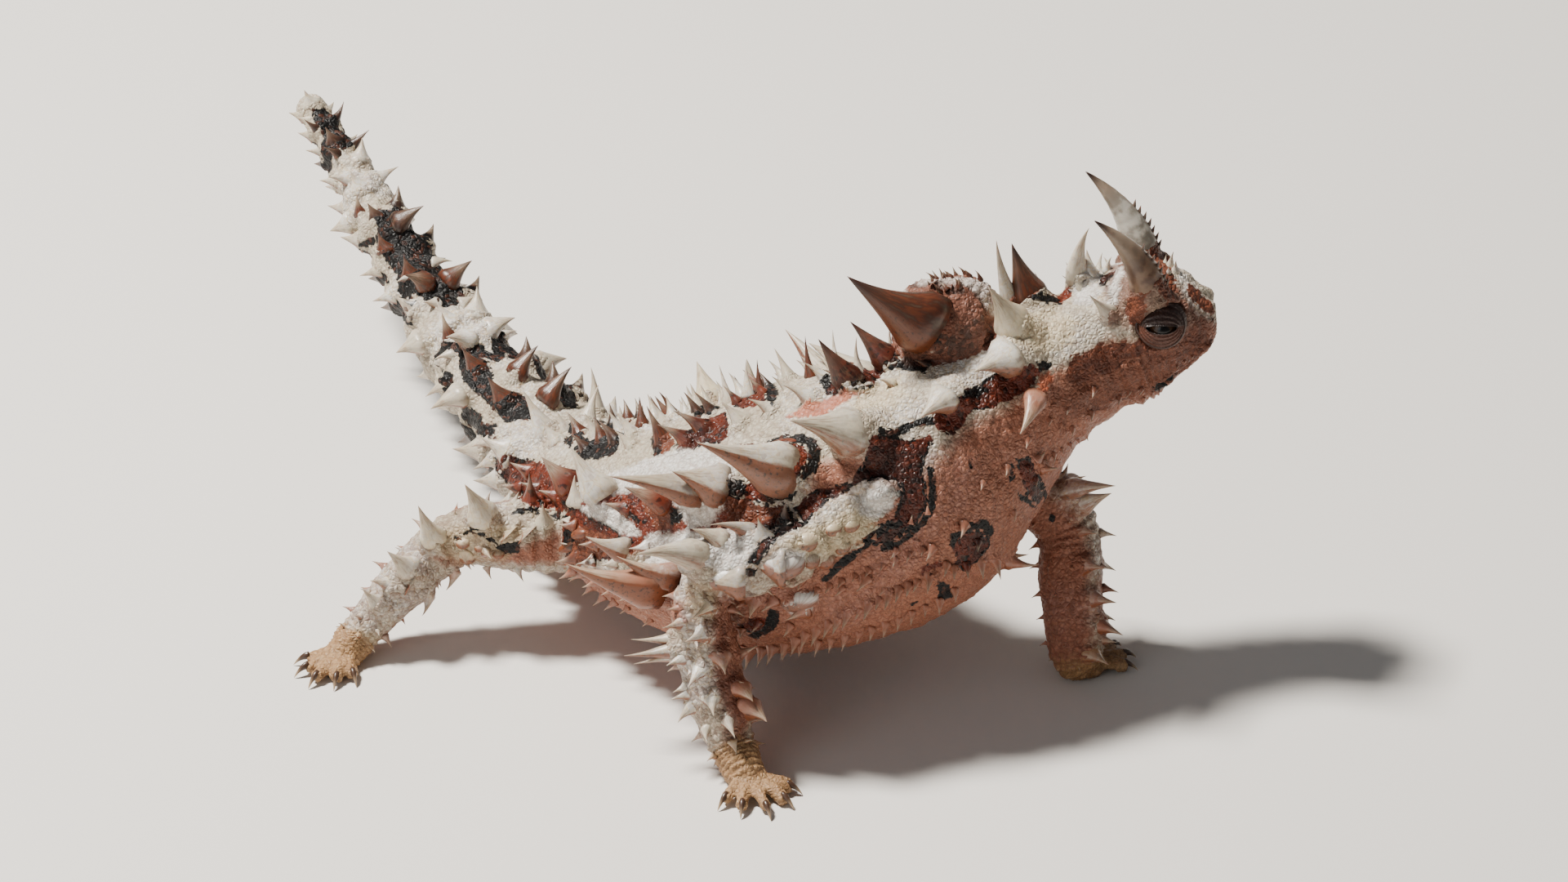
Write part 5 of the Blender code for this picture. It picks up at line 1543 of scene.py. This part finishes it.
def ground(finish):
    """The colour of the ground and markings, the position of the patterns, and a shade for each scale."""
    at = finish.position()
    scale = finish.voronoi(at, SCALES, "Color")
    shade, other = [finish.add("ShaderNodeSeparateColor", None, {"Color": scale}, part)
                    for part in ("Red", "Green")]
    wave, soft = finish.noise(at, 420.0, 3.0), finish.noise(at, 110.0, 5.0)
    shake = (shade - 0.5) * 0.5 + (wave - 0.5) * 0.9

    def mask(name, width=0.12, strength=1.0):
        return (finish.attribute(name) + shake * strength).step(-width, width)

    colour = finish.mix(soft.step(0.38, 0.66), CREAM, WHITE)
    colour = finish.mix(shade.step(0.3, 1.0) * 0.22, colour, GREY)
    # Here the umber is only the skin's own random brown scales.
    colour = finish.mix(other.step(0.85, 0.95) * 0.25, colour, UMBER_AND_SHADE)
    bent = finish.add("ShaderNodeVectorMath", {"operation": "SCALE"}, {0: at, "Scale": wave * 0.16 + 0.92})
    veins = finish.voronoi(bent, VEINS, "Distance", "DISTANCE_TO_EDGE")
    colour = finish.mix(veins.step(0.09, 0.01) * soft.step(0.42, 0.56) * 0.5, colour, YELLOW)
    colour = finish.mix(veins.step(0.03, 0.0) * soft.step(0.42, 0.56) * 0.35, colour, OCHRE)
    # Tan: partly the skin's own colour and partly painted shade on the belly, lower flanks and inner legs.
    colour = finish.mix(mask("tan", 1.2) * 0.85, colour, TAN_AND_SHADE)
    colour = finish.mix(mask("yellow", 0.8) * 0.6, colour, YELLOW)
    # Umber: partly brown skin and partly painted shade on the lower head, the forearm's shaded side and the
    # lower legs.
    colour = finish.mix(mask("umber", 0.9) * soft.step(0.4, 0.62, 0.7, 1.0), colour, UMBER_AND_SHADE)
    colour = finish.mix(mask("ochre", 1.2, 2.0) * 0.9, colour, OCHRE)
    colour = finish.mix(mask("orange", 0.3) * 0.8, colour, ORANGE)
    rusty = finish.mix(soft.step(0.4, 0.62), RUST, RUST_DARK)
    rusty = finish.mix(other.step(0.6, 1.0) * 0.09, rusty, ORANGE)
    rusty = finish.mix(shade.step(0.82, 0.9) * 0.7, rusty, BLACK)
    edge = (finish.attribute("rust") + shake).step(0.5, 0.25) * (soft + (wave - 0.5) * 0.8).step(0.46, 0.54)
    colour = finish.mix(mask("rust", 0.1), colour, finish.mix(edge, rusty, BLACK))
    dark = finish.mix(other.step(0.3, 1.0) * 0.5, BROWN, RUST_DARK)
    colour = finish.mix(mask("brown"), colour, dark)
    deep = finish.mix(other.step(0.75, 1.0) * 0.35, BLACK, BROWN)
    colour = finish.mix(mask("black", 0.1, 0.8), colour, deep)
    return finish.mix(mask("pale", 0.4), colour, WHITE), at, shade


hide = Finish("pebbled_hide")
colour, at, shade = ground(hide)
scale_border = hide.voronoi(at, SCALES, "Distance", "DISTANCE_TO_EDGE")
bump = hide.bump(0.6, 0.0002, scale_border.step(0.0, 0.35) + hide.noise(at, 3800.0) * 0.2)
colour = hide.mix(hide.attribute("knob").step(-0.4, 0.6) * 0.34, colour, tint(150, 112, 98))
# Painted shade: darker along the borders between scales, and in the hollows and wrinkle troughs.
colour = hide.mix(scale_border.step(0.0, 0.12, 0.3, 0.0), colour, tint(120, 92, 74), "MULTIPLY")
colour = hide.mix(hide.attribute("hollow_shade") * 0.4, colour, tint(150, 120, 98), "MULTIPLY")
hide.set(Base_Color=colour, Roughness=shade * 0.2 + 0.42 - hide.attribute("rust").step(-0.2, 0.4) * 0.12,
         Normal=bump, Specular_IOR_Level=0.32,
         Subsurface_Weight=0.04, Subsurface_Scale=0.001)
skin_mesh.materials.append(hide.material)

# %% [markdown]
# ## The coat of thorns
# A thorn is a cone of horn: broad at its foot, hollowed, a little bent, with a keel and a needle tip. The
# same ring-by-ring form is stretched over every root. All thorns of a kind become one mesh. Their map
# named OFBake gives each thorn one small spot at its root's place on the unrolled skin.

# %% Thorns as meshes
SPOT = 0.0015


def unrolled(tube, t, angle):
    """A place on the unrolled skin: the body in a wide strip, each leg in a narrow one."""
    turn = ((angle + 180.0) % 360.0) / 360.0
    if tube == 0:
        return 0.01 + 0.97 * t / 18.0, 0.01 + 0.58 * turn
    return 0.01 + 0.97 * t / 5.0, 0.62 + 0.095 * (tube - 1) + 0.085 * turn


def spot_of(tube, t, angle, reach, turn):
    """The small round spot that a form gets on the map, at the place of its root."""
    u, v = unrolled(tube, t, angle)
    return np.stack([u + reach * np.cos(turn), v + reach * np.sin(turn)], 1)


def thorn_rings(thorn, sides, count):
    """The rings of a thorn from inside its mound to its tip, and how far along each ring is."""
    s = np.concatenate([[-0.12], 1.0 - (1.0 - np.linspace(0.0, 1.0, count)) ** 1.25])
    s = 0.18 + 0.82 * s if thorn.grand else s
    spread = unit(np.cross(thorn.way, thorn.outward + np.array([0.013, 0.007, 0.0])))
    proud = np.cross(spread, thorn.way)
    bulge = thorn.outward - thorn.way * (thorn.outward @ thorn.way)
    a = np.radians(np.arange(sides) * 360.0 / sides)
    rings = []
    for share in s:
        left = np.clip((1.0 - share) / (0.75 if thorn.grand else 1.0), 0.0, 1.0)
        even, hollowed = (0.7, 0.28) if thorn.grand else (0.5, 0.56)
        r = thorn.radius * (even * left + hollowed * left ** 3) + 0.02
        keel = 1.0 + 0.10 * np.cos(2 * a) + 0.06 * np.cos(3 * a) * left
        centre = thorn.root + thorn.way * thorn.length * share
        centre = centre + bulge * thorn.length * 0.45 * share * (1.0 - share)
        ring = spread * (np.cos(a) * keel)[:, None] + proud * (np.sin(a) * keel)[:, None]
        rings.append(centre + ring * r)
    return np.array(rings), s


def mapped(name, clay, maps):
    """The piece made of many small forms, with the map that gives each form its own small spot."""
    mesh = clay.mesh(name)
    spots_uv = np.concatenate(maps)
    corner = np.zeros(len(mesh.loops), np.int32)
    mesh.loops.foreach_get("vertex_index", corner)
    mesh.uv_layers.new(name="OFBake").data.foreach_set("uv", spots_uv[corner].astype(np.float32).ravel())
    triangles = sum(len(p.vertices) - 2 for p in mesh.polygons)
    print(f"{name}: {len(maps)} forms, {triangles} triangles")
    return put(name, mesh, "thorn")


def coat(name, members, sides, count):
    """One mesh of many thorns, with its markings and its map."""
    clay, maps = Clay(), []
    w = np.array([t.tube for t in members])
    st = np.array([t.t for t in members])
    an = np.array([t.angle for t in members])
    found = marks_at(feet_of(w, st, an), normals_of(w, st, an), w, st, an)
    none = {key: OUTSIDE for key in found if key not in ("tan", "ochre", "yellow")}
    for i, thorn in enumerate(members):
        rings, s = thorn_rings(thorn, sides, count)
        values = {key: float(field[i]) for key, field in found.items()}
        if thorn.colour != "auto":
            values.update(none)
        if thorn.colour in ("rust", "dark"):
            values["rust" if thorn.colour == "rust" else "black"] = 2.0
        toward = unit(rings - rings.mean(1, keepdims=True))
        # Painted shade: the side of each thorn that faces down is painted darker brown; the kind of thorn
        # sets where this starts and how strong it is.
        upward = SKYWARD - thorn.way * thorn.way[2]
        usual = 0.1 if thorn.tube == BODY and thorn.t <= TAIL_END else -0.3
        edge = {"two": -0.75, "ivory": -0.6, "horn": -0.4}.get(thorn.colour, usual)
        low = smooth(-(toward @ upward), edge, edge + 0.45)
        low = low * min(max(1.4 * np.linalg.norm(upward) - 0.4, 0.0), 1.0)
        under = np.concatenate([low.ravel(), [0.0, 0.0]])
        along = np.concatenate([np.repeat(s, sides), [s[0], 1.0]])
        tawny = {"brown": 1.0, "horn": 0.3}.get(thorn.colour, 0.0)
        shaded = {"two": 1.0, "horn": 0.95, "auto": 0.6, "ivory": 0.5}.get(thorn.colour, 0.65)
        turn = np.concatenate([np.tile(np.arange(sides) * 2 * math.pi / sides, count + 1), [0.0, 0.0]])
        clay.tube(rings, along=along, tip=thorn.tip, tawny=tawny, under=under * shaded, turn_x=np.cos(turn),
                  turn_y=np.sin(turn), **values)
        reach = SPOT * (1.0 - np.clip(along, 0.0, 1.0))
        maps.append(spot_of(thorn.tube, thorn.t, thorn.angle, reach, turn))
    return mapped(name, clay, maps)


large = [t for t in thorns if t.grand]
middling = [t for t in thorns if not t.grand and t.radius >= 0.8]
little = [t for t in thorns if not t.grand and t.radius < 0.8]
coats = [coat("large_thorns", large, 20, 14), coat("middling_thorns", middling, 12, 9),
         coat("little_thorns", little, 8, 7)]

# %% [markdown]
# ## Bosses
# Smooth round scales like pearls sit along the edge of the shoulder plate and down the hip. Each one is a
# flattened dome of horn, set into the swelling that the skin already has at its place.

# %% Domes in the colour of the skin around them
BOSS_SIDES, BOSS_RINGS = 24, 12
w, st, an = (np.array([boss[k] for boss in bosses]) for k in range(3))
found = marks_at(feet_of(w, st, an), normals_of(w, st, an), w, st, an)
clay, maps = Clay(), []
turn = np.concatenate([np.tile(np.arange(BOSS_SIDES) * 2 * math.pi / BOSS_SIDES, BOSS_RINGS), [0.0, 0.0]])
reach_uv = SPOT * np.concatenate([np.repeat(np.linspace(1.0, 0.1, BOSS_RINGS), BOSS_SIDES), [1.0, 0.0]])
for i, (tube, t, angle, centre, reach, axes) in enumerate(bosses):
    rings = ball(centre + axes[2] * 0.1, reach + 0.12, axes, BOSS_SIDES, BOSS_RINGS)
    # Painted shade: a little on every boss and more on its downward side.
    low = 0.3 + 0.6 * smooth(-unit(rings - centre)[..., 2], -0.5, 0.4)
    values = {key: float(field[i]) for key, field in found.items()}
    clay.tube(rings, along=0.15, tip=0.0, tawny=0.0, under=np.concatenate([low.ravel(), [0.0, 0.0]]),
              turn_x=np.cos(turn), turn_y=np.sin(turn), **values)
    maps.append(spot_of(tube, t, angle, reach_uv, turn))
coats.append(mapped("bosses", clay, maps))

# %% [markdown]
# ## Horn
# Thorn horn is smooth and a little glassy. It keeps the colour of the band it grows from at its foot, turns
# ivory higher up, and ends in a dark or a pale needle. Fine streaks run to the tip.

# %% The finish of the thorns
horn = Finish("thorn_horn")
colour, at, _ = ground(horn)
along = horn.attribute("along")
lengthwise = along * 1.4 + horn.attribute("tip") * 9.0
fibres = horn.add("ShaderNodeCombineXYZ", None,
                  {"X": horn.attribute("turn_x"), "Y": horn.attribute("turn_y"), "Z": lengthwise})
streak, speck = horn.noise(fibres, 4.5, 4.0), horn.noise(at, 2400.0, 3.0)
brown = horn.mix(streak.step(0.35, 0.65), tint(94, 50, 32), tint(52, 28, 20))
colour = horn.mix(horn.attribute("tawny"), colour, brown)
ivory = horn.mix(streak.step(0.35, 0.65), tint(196, 184, 160), tint(152, 130, 106))
in_band = horn.attribute("black").step(-0.2, 0.4)
colour = horn.mix(in_band * along.step(0.0, 0.5) * 0.8, colour, tint(76, 50, 39))
high = (along + streak * 0.2).step(0.4, 0.9) * (1.0 - horn.attribute("tip")).step(0.0, 0.8) * 0.7
colour = horn.mix(high * (1.0 - in_band * 0.75), colour, ivory)
colour = horn.mix(streak.step(0.5, 0.7) * 0.3, colour, tint(120, 96, 76))
# Painted shade: the downward side of each thorn gets darker brown, most near its foot.
low = (horn.attribute("under") * (along * -0.35 + 1.1) + (streak - 0.5) * 0.4).step(0.24, 0.62) * 0.9
thorn_underside_shade = horn.mix(speck.step(0.55, 0.68), tint(124, 68, 40), tint(56, 31, 22))
colour = horn.mix(low, colour, thorn_underside_shade)
dark = (along + (streak - 0.5) * 0.2).step(0.62, 0.95) * horn.attribute("tip").step(0.0, 1.0)
colour = horn.mix(dark, colour, tint(58, 38, 32))
lumps = horn.bump(0.4, 0.00014, streak + speck * 0.3)
horn.set(Base_Color=colour, Roughness=0.34 + (streak - 0.5) * 0.2, Specular_IOR_Level=0.5, Normal=lumps,
         Subsurface_Weight=0.1, Subsurface_Scale=0.001)
for obj in coats:
    obj.data.materials.append(horn.material)

# %% [markdown]
# ## Eyes and lids
# The eye is small and dark. It shows through a slit in a round, domed fold of fine scales. The upper lid
# is dark and hangs over the lower one. The lids are a grid of rings from the slit's edge out to the fold.

# %% Eyeballs and lids
ball_finish = Finish("wet_eye")
ray = ball_finish.noise(ball_finish.position(), 3000.0)
iris = ball_finish.mix(ball_finish.attribute("iris").step(0.3, 0.5), tint(10, 8, 8),
                       ball_finish.mix(ray, tint(84, 54, 30), tint(40, 26, 18)))
ball_finish.set(Base_Color=iris, Roughness=0.2, Specular_IOR_Level=0.35,
                Coat_Weight=0.15, Coat_Roughness=0.03)
lid_finish = Finish("lid_scales")
bead = lid_finish.voronoi(lid_finish.position(), 3200.0, "Distance")
upper, rim = lid_finish.attribute("upper"), lid_finish.attribute("rim")
lid_tone = lid_finish.mix(upper.step(0.35, 0.65), tint(84, 47, 33), tint(56, 36, 30))
lid_tone = lid_finish.mix(rim.step(0.82, 1.0) * 0.7, lid_tone, tint(52, 34, 28))
lid_tone = lid_finish.mix(rim.step(0.12, 0.0) * 0.8, lid_tone, tint(30, 20, 18))
lid_finish.set(Base_Color=lid_tone, Roughness=0.45, Normal=lid_finish.bump(0.6, 0.00014, bead))

LID_SHIFT, LID_POINTS = np.array([-0.25, 0.5]), 72
SLIT, SLIT_RISE, SLIT_DROP, FOLD = 2.0, 0.32, 0.78, (3.0, 2.9)
tilt = math.radians(12.0)
for side, label in ((-1.0, "right"), (1.0, "left")):
    centre = head_point(EYE[0], EYE[1] * side, EYE[2])
    face = HEAD_AXES[1] * side * math.cos(tilt) + HEAD_AXES[2] * math.sin(tilt)
    rise = HEAD_AXES[2] * math.cos(tilt) - HEAD_AXES[1] * side * math.sin(tilt)
    axes = np.array([HEAD_AXES[0], rise, face])
    clay = Clay()
    rings = ball((0, 0, 0), (1, 1, 1), segments=32, rings=28)
    polar = np.arccos(np.clip(rings[..., 2], -1, 1))
    girth = EYE[3] * (1.0 + 0.05 * np.exp(-(polar / 0.5) ** 2))
    clay.tube(centre + (rings * girth[..., None]) @ axes,
              iris=np.concatenate([polar.ravel(), [math.pi, 0.0]]))
    eye = put(f"eyeball_{label}", clay.mesh(f"eyeball_{label}"), "eye", f"eye_{label}")
    eye.data.materials.append(ball_finish.material)

    phi = np.radians(circle(LID_POINTS))
    slit = np.stack([SLIT * np.cos(phi), np.where(np.sin(phi) > 0, SLIT_RISE, SLIT_DROP) * np.sin(phi)], 1)
    rim = np.stack([FOLD[0] * np.cos(phi), FOLD[1] * np.sin(phi)], 1)
    rings, upper, spread = [], [], []
    for s in [-0.03, 0.0, 0.02, *np.linspace(0.05, 1.0, 22), 1.06, 1.14]:
        flat = slit * (1 - min(max(s, 0.0), 1.0)) + rim * max(s, 0.0) + LID_SHIFT
        r = np.linalg.norm(flat, axis=1)
        lift = 0.25 + 2.0 * np.sqrt(np.clip(1.0 - (r / 3.1) ** 2, 0.02, 1.0))
        lift += 0.2 * smooth(np.sin(phi), -0.05, 0.15) * (1 - s) + 0.07 * np.cos(s * 2 * math.pi * 4.0)
        lift -= 0.5 * (s < 0) + 0.10 * math.exp(-((s - 0.92) / 0.05) ** 2) + 3.0 * max(s - 1.0, 0.0)
        rings.append(centre + (np.column_stack([flat, lift]) @ axes))
        upper.append(smooth(np.sin(phi), -0.1, 0.1))
        spread.append(np.full(LID_POINTS, max(s, 0.0)))
    faces = side_faces(len(rings), LID_POINTS)
    if side > 0:
        faces = [f[::-1] for f in faces]
    lids = Clay()
    lids.add(np.concatenate(rings), faces, upper=np.concatenate(upper), rim=np.concatenate(spread))
    lid = put(f"lids_{label}", lids.mesh(f"lids_{label}"), "skin")
    lid.data.materials.append(lid_finish.material)
print("eye slit", 2 * SLIT, "mm long in a fold", 2 * FOLD[0], "mm across")

# %% [markdown]
# ## Brow horns
# A large horn stands over each eye and bends back. It is the largest cone of all, so it gets its own
# finer form with growth ridges, along the same bent line as its solid.

# %% Horns over the eyes
HORN_GIRTH = ([0.0, 0.2, 0.35, 0.55, 0.78, 0.92, 1.0], [0.9, 0.84, 0.74, 0.54, 0.3, 0.13, 0.03])
horn_finish = Finish("brow_horn_horn")
cloud = horn_finish.noise(horn_finish.position(), 500.0, 4.0)
up_horn = horn_finish.attribute("along")
tone = horn_finish.mix(cloud.step(0.4, 0.6), tint(80, 54, 40), tint(118, 90, 68))
tone = horn_finish.mix(up_horn.step(0.35, 0.75) * 0.7, tone, tint(154, 138, 120))
tone = horn_finish.mix(cloud.step(0.5, 0.62) * up_horn.step(0.3, 0.5) * 0.4, tone, tint(92, 78, 68))
inner = horn_finish.attribute("inner").step(-0.1, 0.5) * up_horn.step(0.85, 0.6)
pale_side = horn_finish.mix(cloud.step(0.42, 0.6), tint(186, 180, 168), tint(136, 128, 116))
tone = horn_finish.mix(inner, tone, pale_side)
tone = horn_finish.mix((up_horn + (cloud - 0.5) * 0.1).step(0.8, 0.97), tone, tint(44, 28, 24))
horn_finish.set(Base_Color=tone, Roughness=0.36, Specular_IOR_Level=0.5,
                Normal=horn_finish.bump(0.3, 0.00015, cloud),
                Subsurface_Weight=0.12, Subsurface_Scale=0.0015)
HORN_RINGS = 30
shares = np.linspace(0.02, 1.0, HORN_RINGS)
for side, label in ((-1.0, "right"), (1.0, "left")):
    girths = np.interp(shares, *HORN_GIRTH) * (1 + 0.02 * np.cos(shares * 60.0))
    clay, rings = Clay(), np.array(horn_rings(side, shares, girths))
    inner = unit(rings - rings.mean(1, keepdims=True)) @ (HEAD_AXES[1] * -side)
    clay.tube(rings, along=np.concatenate([np.repeat(shares, HORN_SIDES), [0.0, 1.0]]),
              inner=np.concatenate([inner.ravel(), [0.0, 0.0]]))
    for k in range(3, 17, 2):
        front = rings[k][np.argmax(rings[k] @ HEAD_AXES[0])]
        way = unit(0.7 * HEAD_AXES[0] + unit(rings[k + 1].mean(0) - rings[k].mean(0)))
        level = unit(np.cross(way, HEAD_AXES[1]))
        ring = hoop(level, np.cross(way, level), 8)
        tooth = [front + way * 0.95 * s + ring * (0.26 * (1.0 - max(s, 0.0)) + 0.01)
                 for s in np.linspace(-0.4, 1.0, 6)]
        clay.tube(tooth, along=0.9, inner=0.0)
    name = f"brow_horn_{label}_full"
    piece = put(name, clay.mesh(name), "horn", f"brow_horn_{label}")
    piece.data.materials.append(horn_finish.material)
print("horns", round(float(np.linalg.norm(horn_line(1.0, 1.0)[0] - horn_line(1.0, 0.0)[0])), 1), "mm long")

# %% [markdown]
# ## Claws
# Each short toe ends in one dark claw with a pale tip, bent down to the sand that it walks on.

# %% Claws
claw_finish = Finish("claw_horn")
toward = claw_finish.attribute("along")
claw_tone = claw_finish.mix(toward.step(0.3, 1.0), tint(70, 50, 38), tint(176, 150, 120))
claw_finish.set(Base_Color=claw_tone, Roughness=0.3, Specular_IOR_Level=0.5)
claws, CLAW_SIDES, CLAW_RINGS = Clay(), 10, 10
for centre, way, side in toe_tips:
    rings, shares = [], np.linspace(-0.3, 1.0, CLAW_RINGS)
    for s in shares:
        spot = centre + way * 1.6 * s + np.array([0.0, 0.0, 0.35 * (1 - s) - 0.95 * max(s, 0.0) ** 2 + 0.1])
        spot[2] = max(spot[2], 0.12)
        a = np.radians(circle(CLAW_SIDES))[:, None]
        girth = 0.48 * (1.0 - max(s, 0.0)) ** 0.8 + 0.03
        rings.append(spot + (side * np.cos(a) * 0.8 + np.cross(way, side) * np.sin(a)) * girth)
    claws.tube(rings, along=np.concatenate([np.repeat(shares, CLAW_SIDES), [0.0, 1.0]]))
claw_obj = put("claws", claws.mesh("claws"), "claw")
claw_obj.data.materials.append(claw_finish.material)
print("claws:", len(toe_tips))

# %% [markdown]
# ## The studio
# A pale floor and two lamps stand in for the desert. The key light comes from the upper left and a little
# from behind, where the sun stood. It is small enough for clear shadows; the fill is broad and soft.

# %% Floor and lights
floor_mesh = bpy.data.meshes.new("floor")
floor_mesh.from_pydata([(-2, -2, 0), (2, -2, 0), (2, 2, 0), (-2, 2, 0)], [], [(0, 1, 2, 3)])
floor = bpy.data.objects.new("floor", floor_mesh)
bpy.context.scene.collection.objects.link(floor)
floor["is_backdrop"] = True
floor_finish = Finish("pale_floor")
floor_finish.set(Base_Color=tint(226, 222, 216), Roughness=0.9)
floor_mesh.materials.append(floor_finish.material)
world = bpy.data.worlds.new("studio")
world.use_nodes = True
world.node_tree.nodes["Background"].inputs[0].default_value = (0.95, 0.97, 1.0, 1.0)
world.node_tree.nodes["Background"].inputs[1].default_value = 0.13
bpy.context.scene.world = world


def lamp(name, way, distance, size, power, colour):
    """A square soft light that looks at the animal."""
    data = bpy.data.lights.new(name, "AREA")
    data.shape, data.size, data.energy, data.color = "SQUARE", size, power, colour
    obj = bpy.data.objects.new(name, data)
    way = Vector(unit(np.array(way)))
    obj.location = Vector(placed(TARGET)) + way * distance
    obj.rotation_mode = "QUATERNION"
    obj.rotation_quaternion = (-way).to_track_quat("-Z", "Y")
    bpy.context.scene.collection.objects.link(obj)


level = np.array([BACK[0], BACK[1], 0.0]) / math.cos(el)
lamp("key", -0.5 * RIGHT - 0.1 * level + SKYWARD, 0.8, 0.12, 18.0, (1.0, 0.96, 0.9))
lamp("fill", -0.8 * RIGHT + 1.0 * level + 0.5 * SKYWARD, 0.9, 0.6, 1.4, (0.95, 0.97, 1.0))
print("lights: key and fill")

# %% [markdown]
# ## Sizes
# The boxes of the solids and of the visual model are printed.

# %% Write the boxes and finish
low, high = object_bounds()
print("box of the solids:", box_size(cad_low, cad_high))
print("box of the model: ", box_size(low, high))
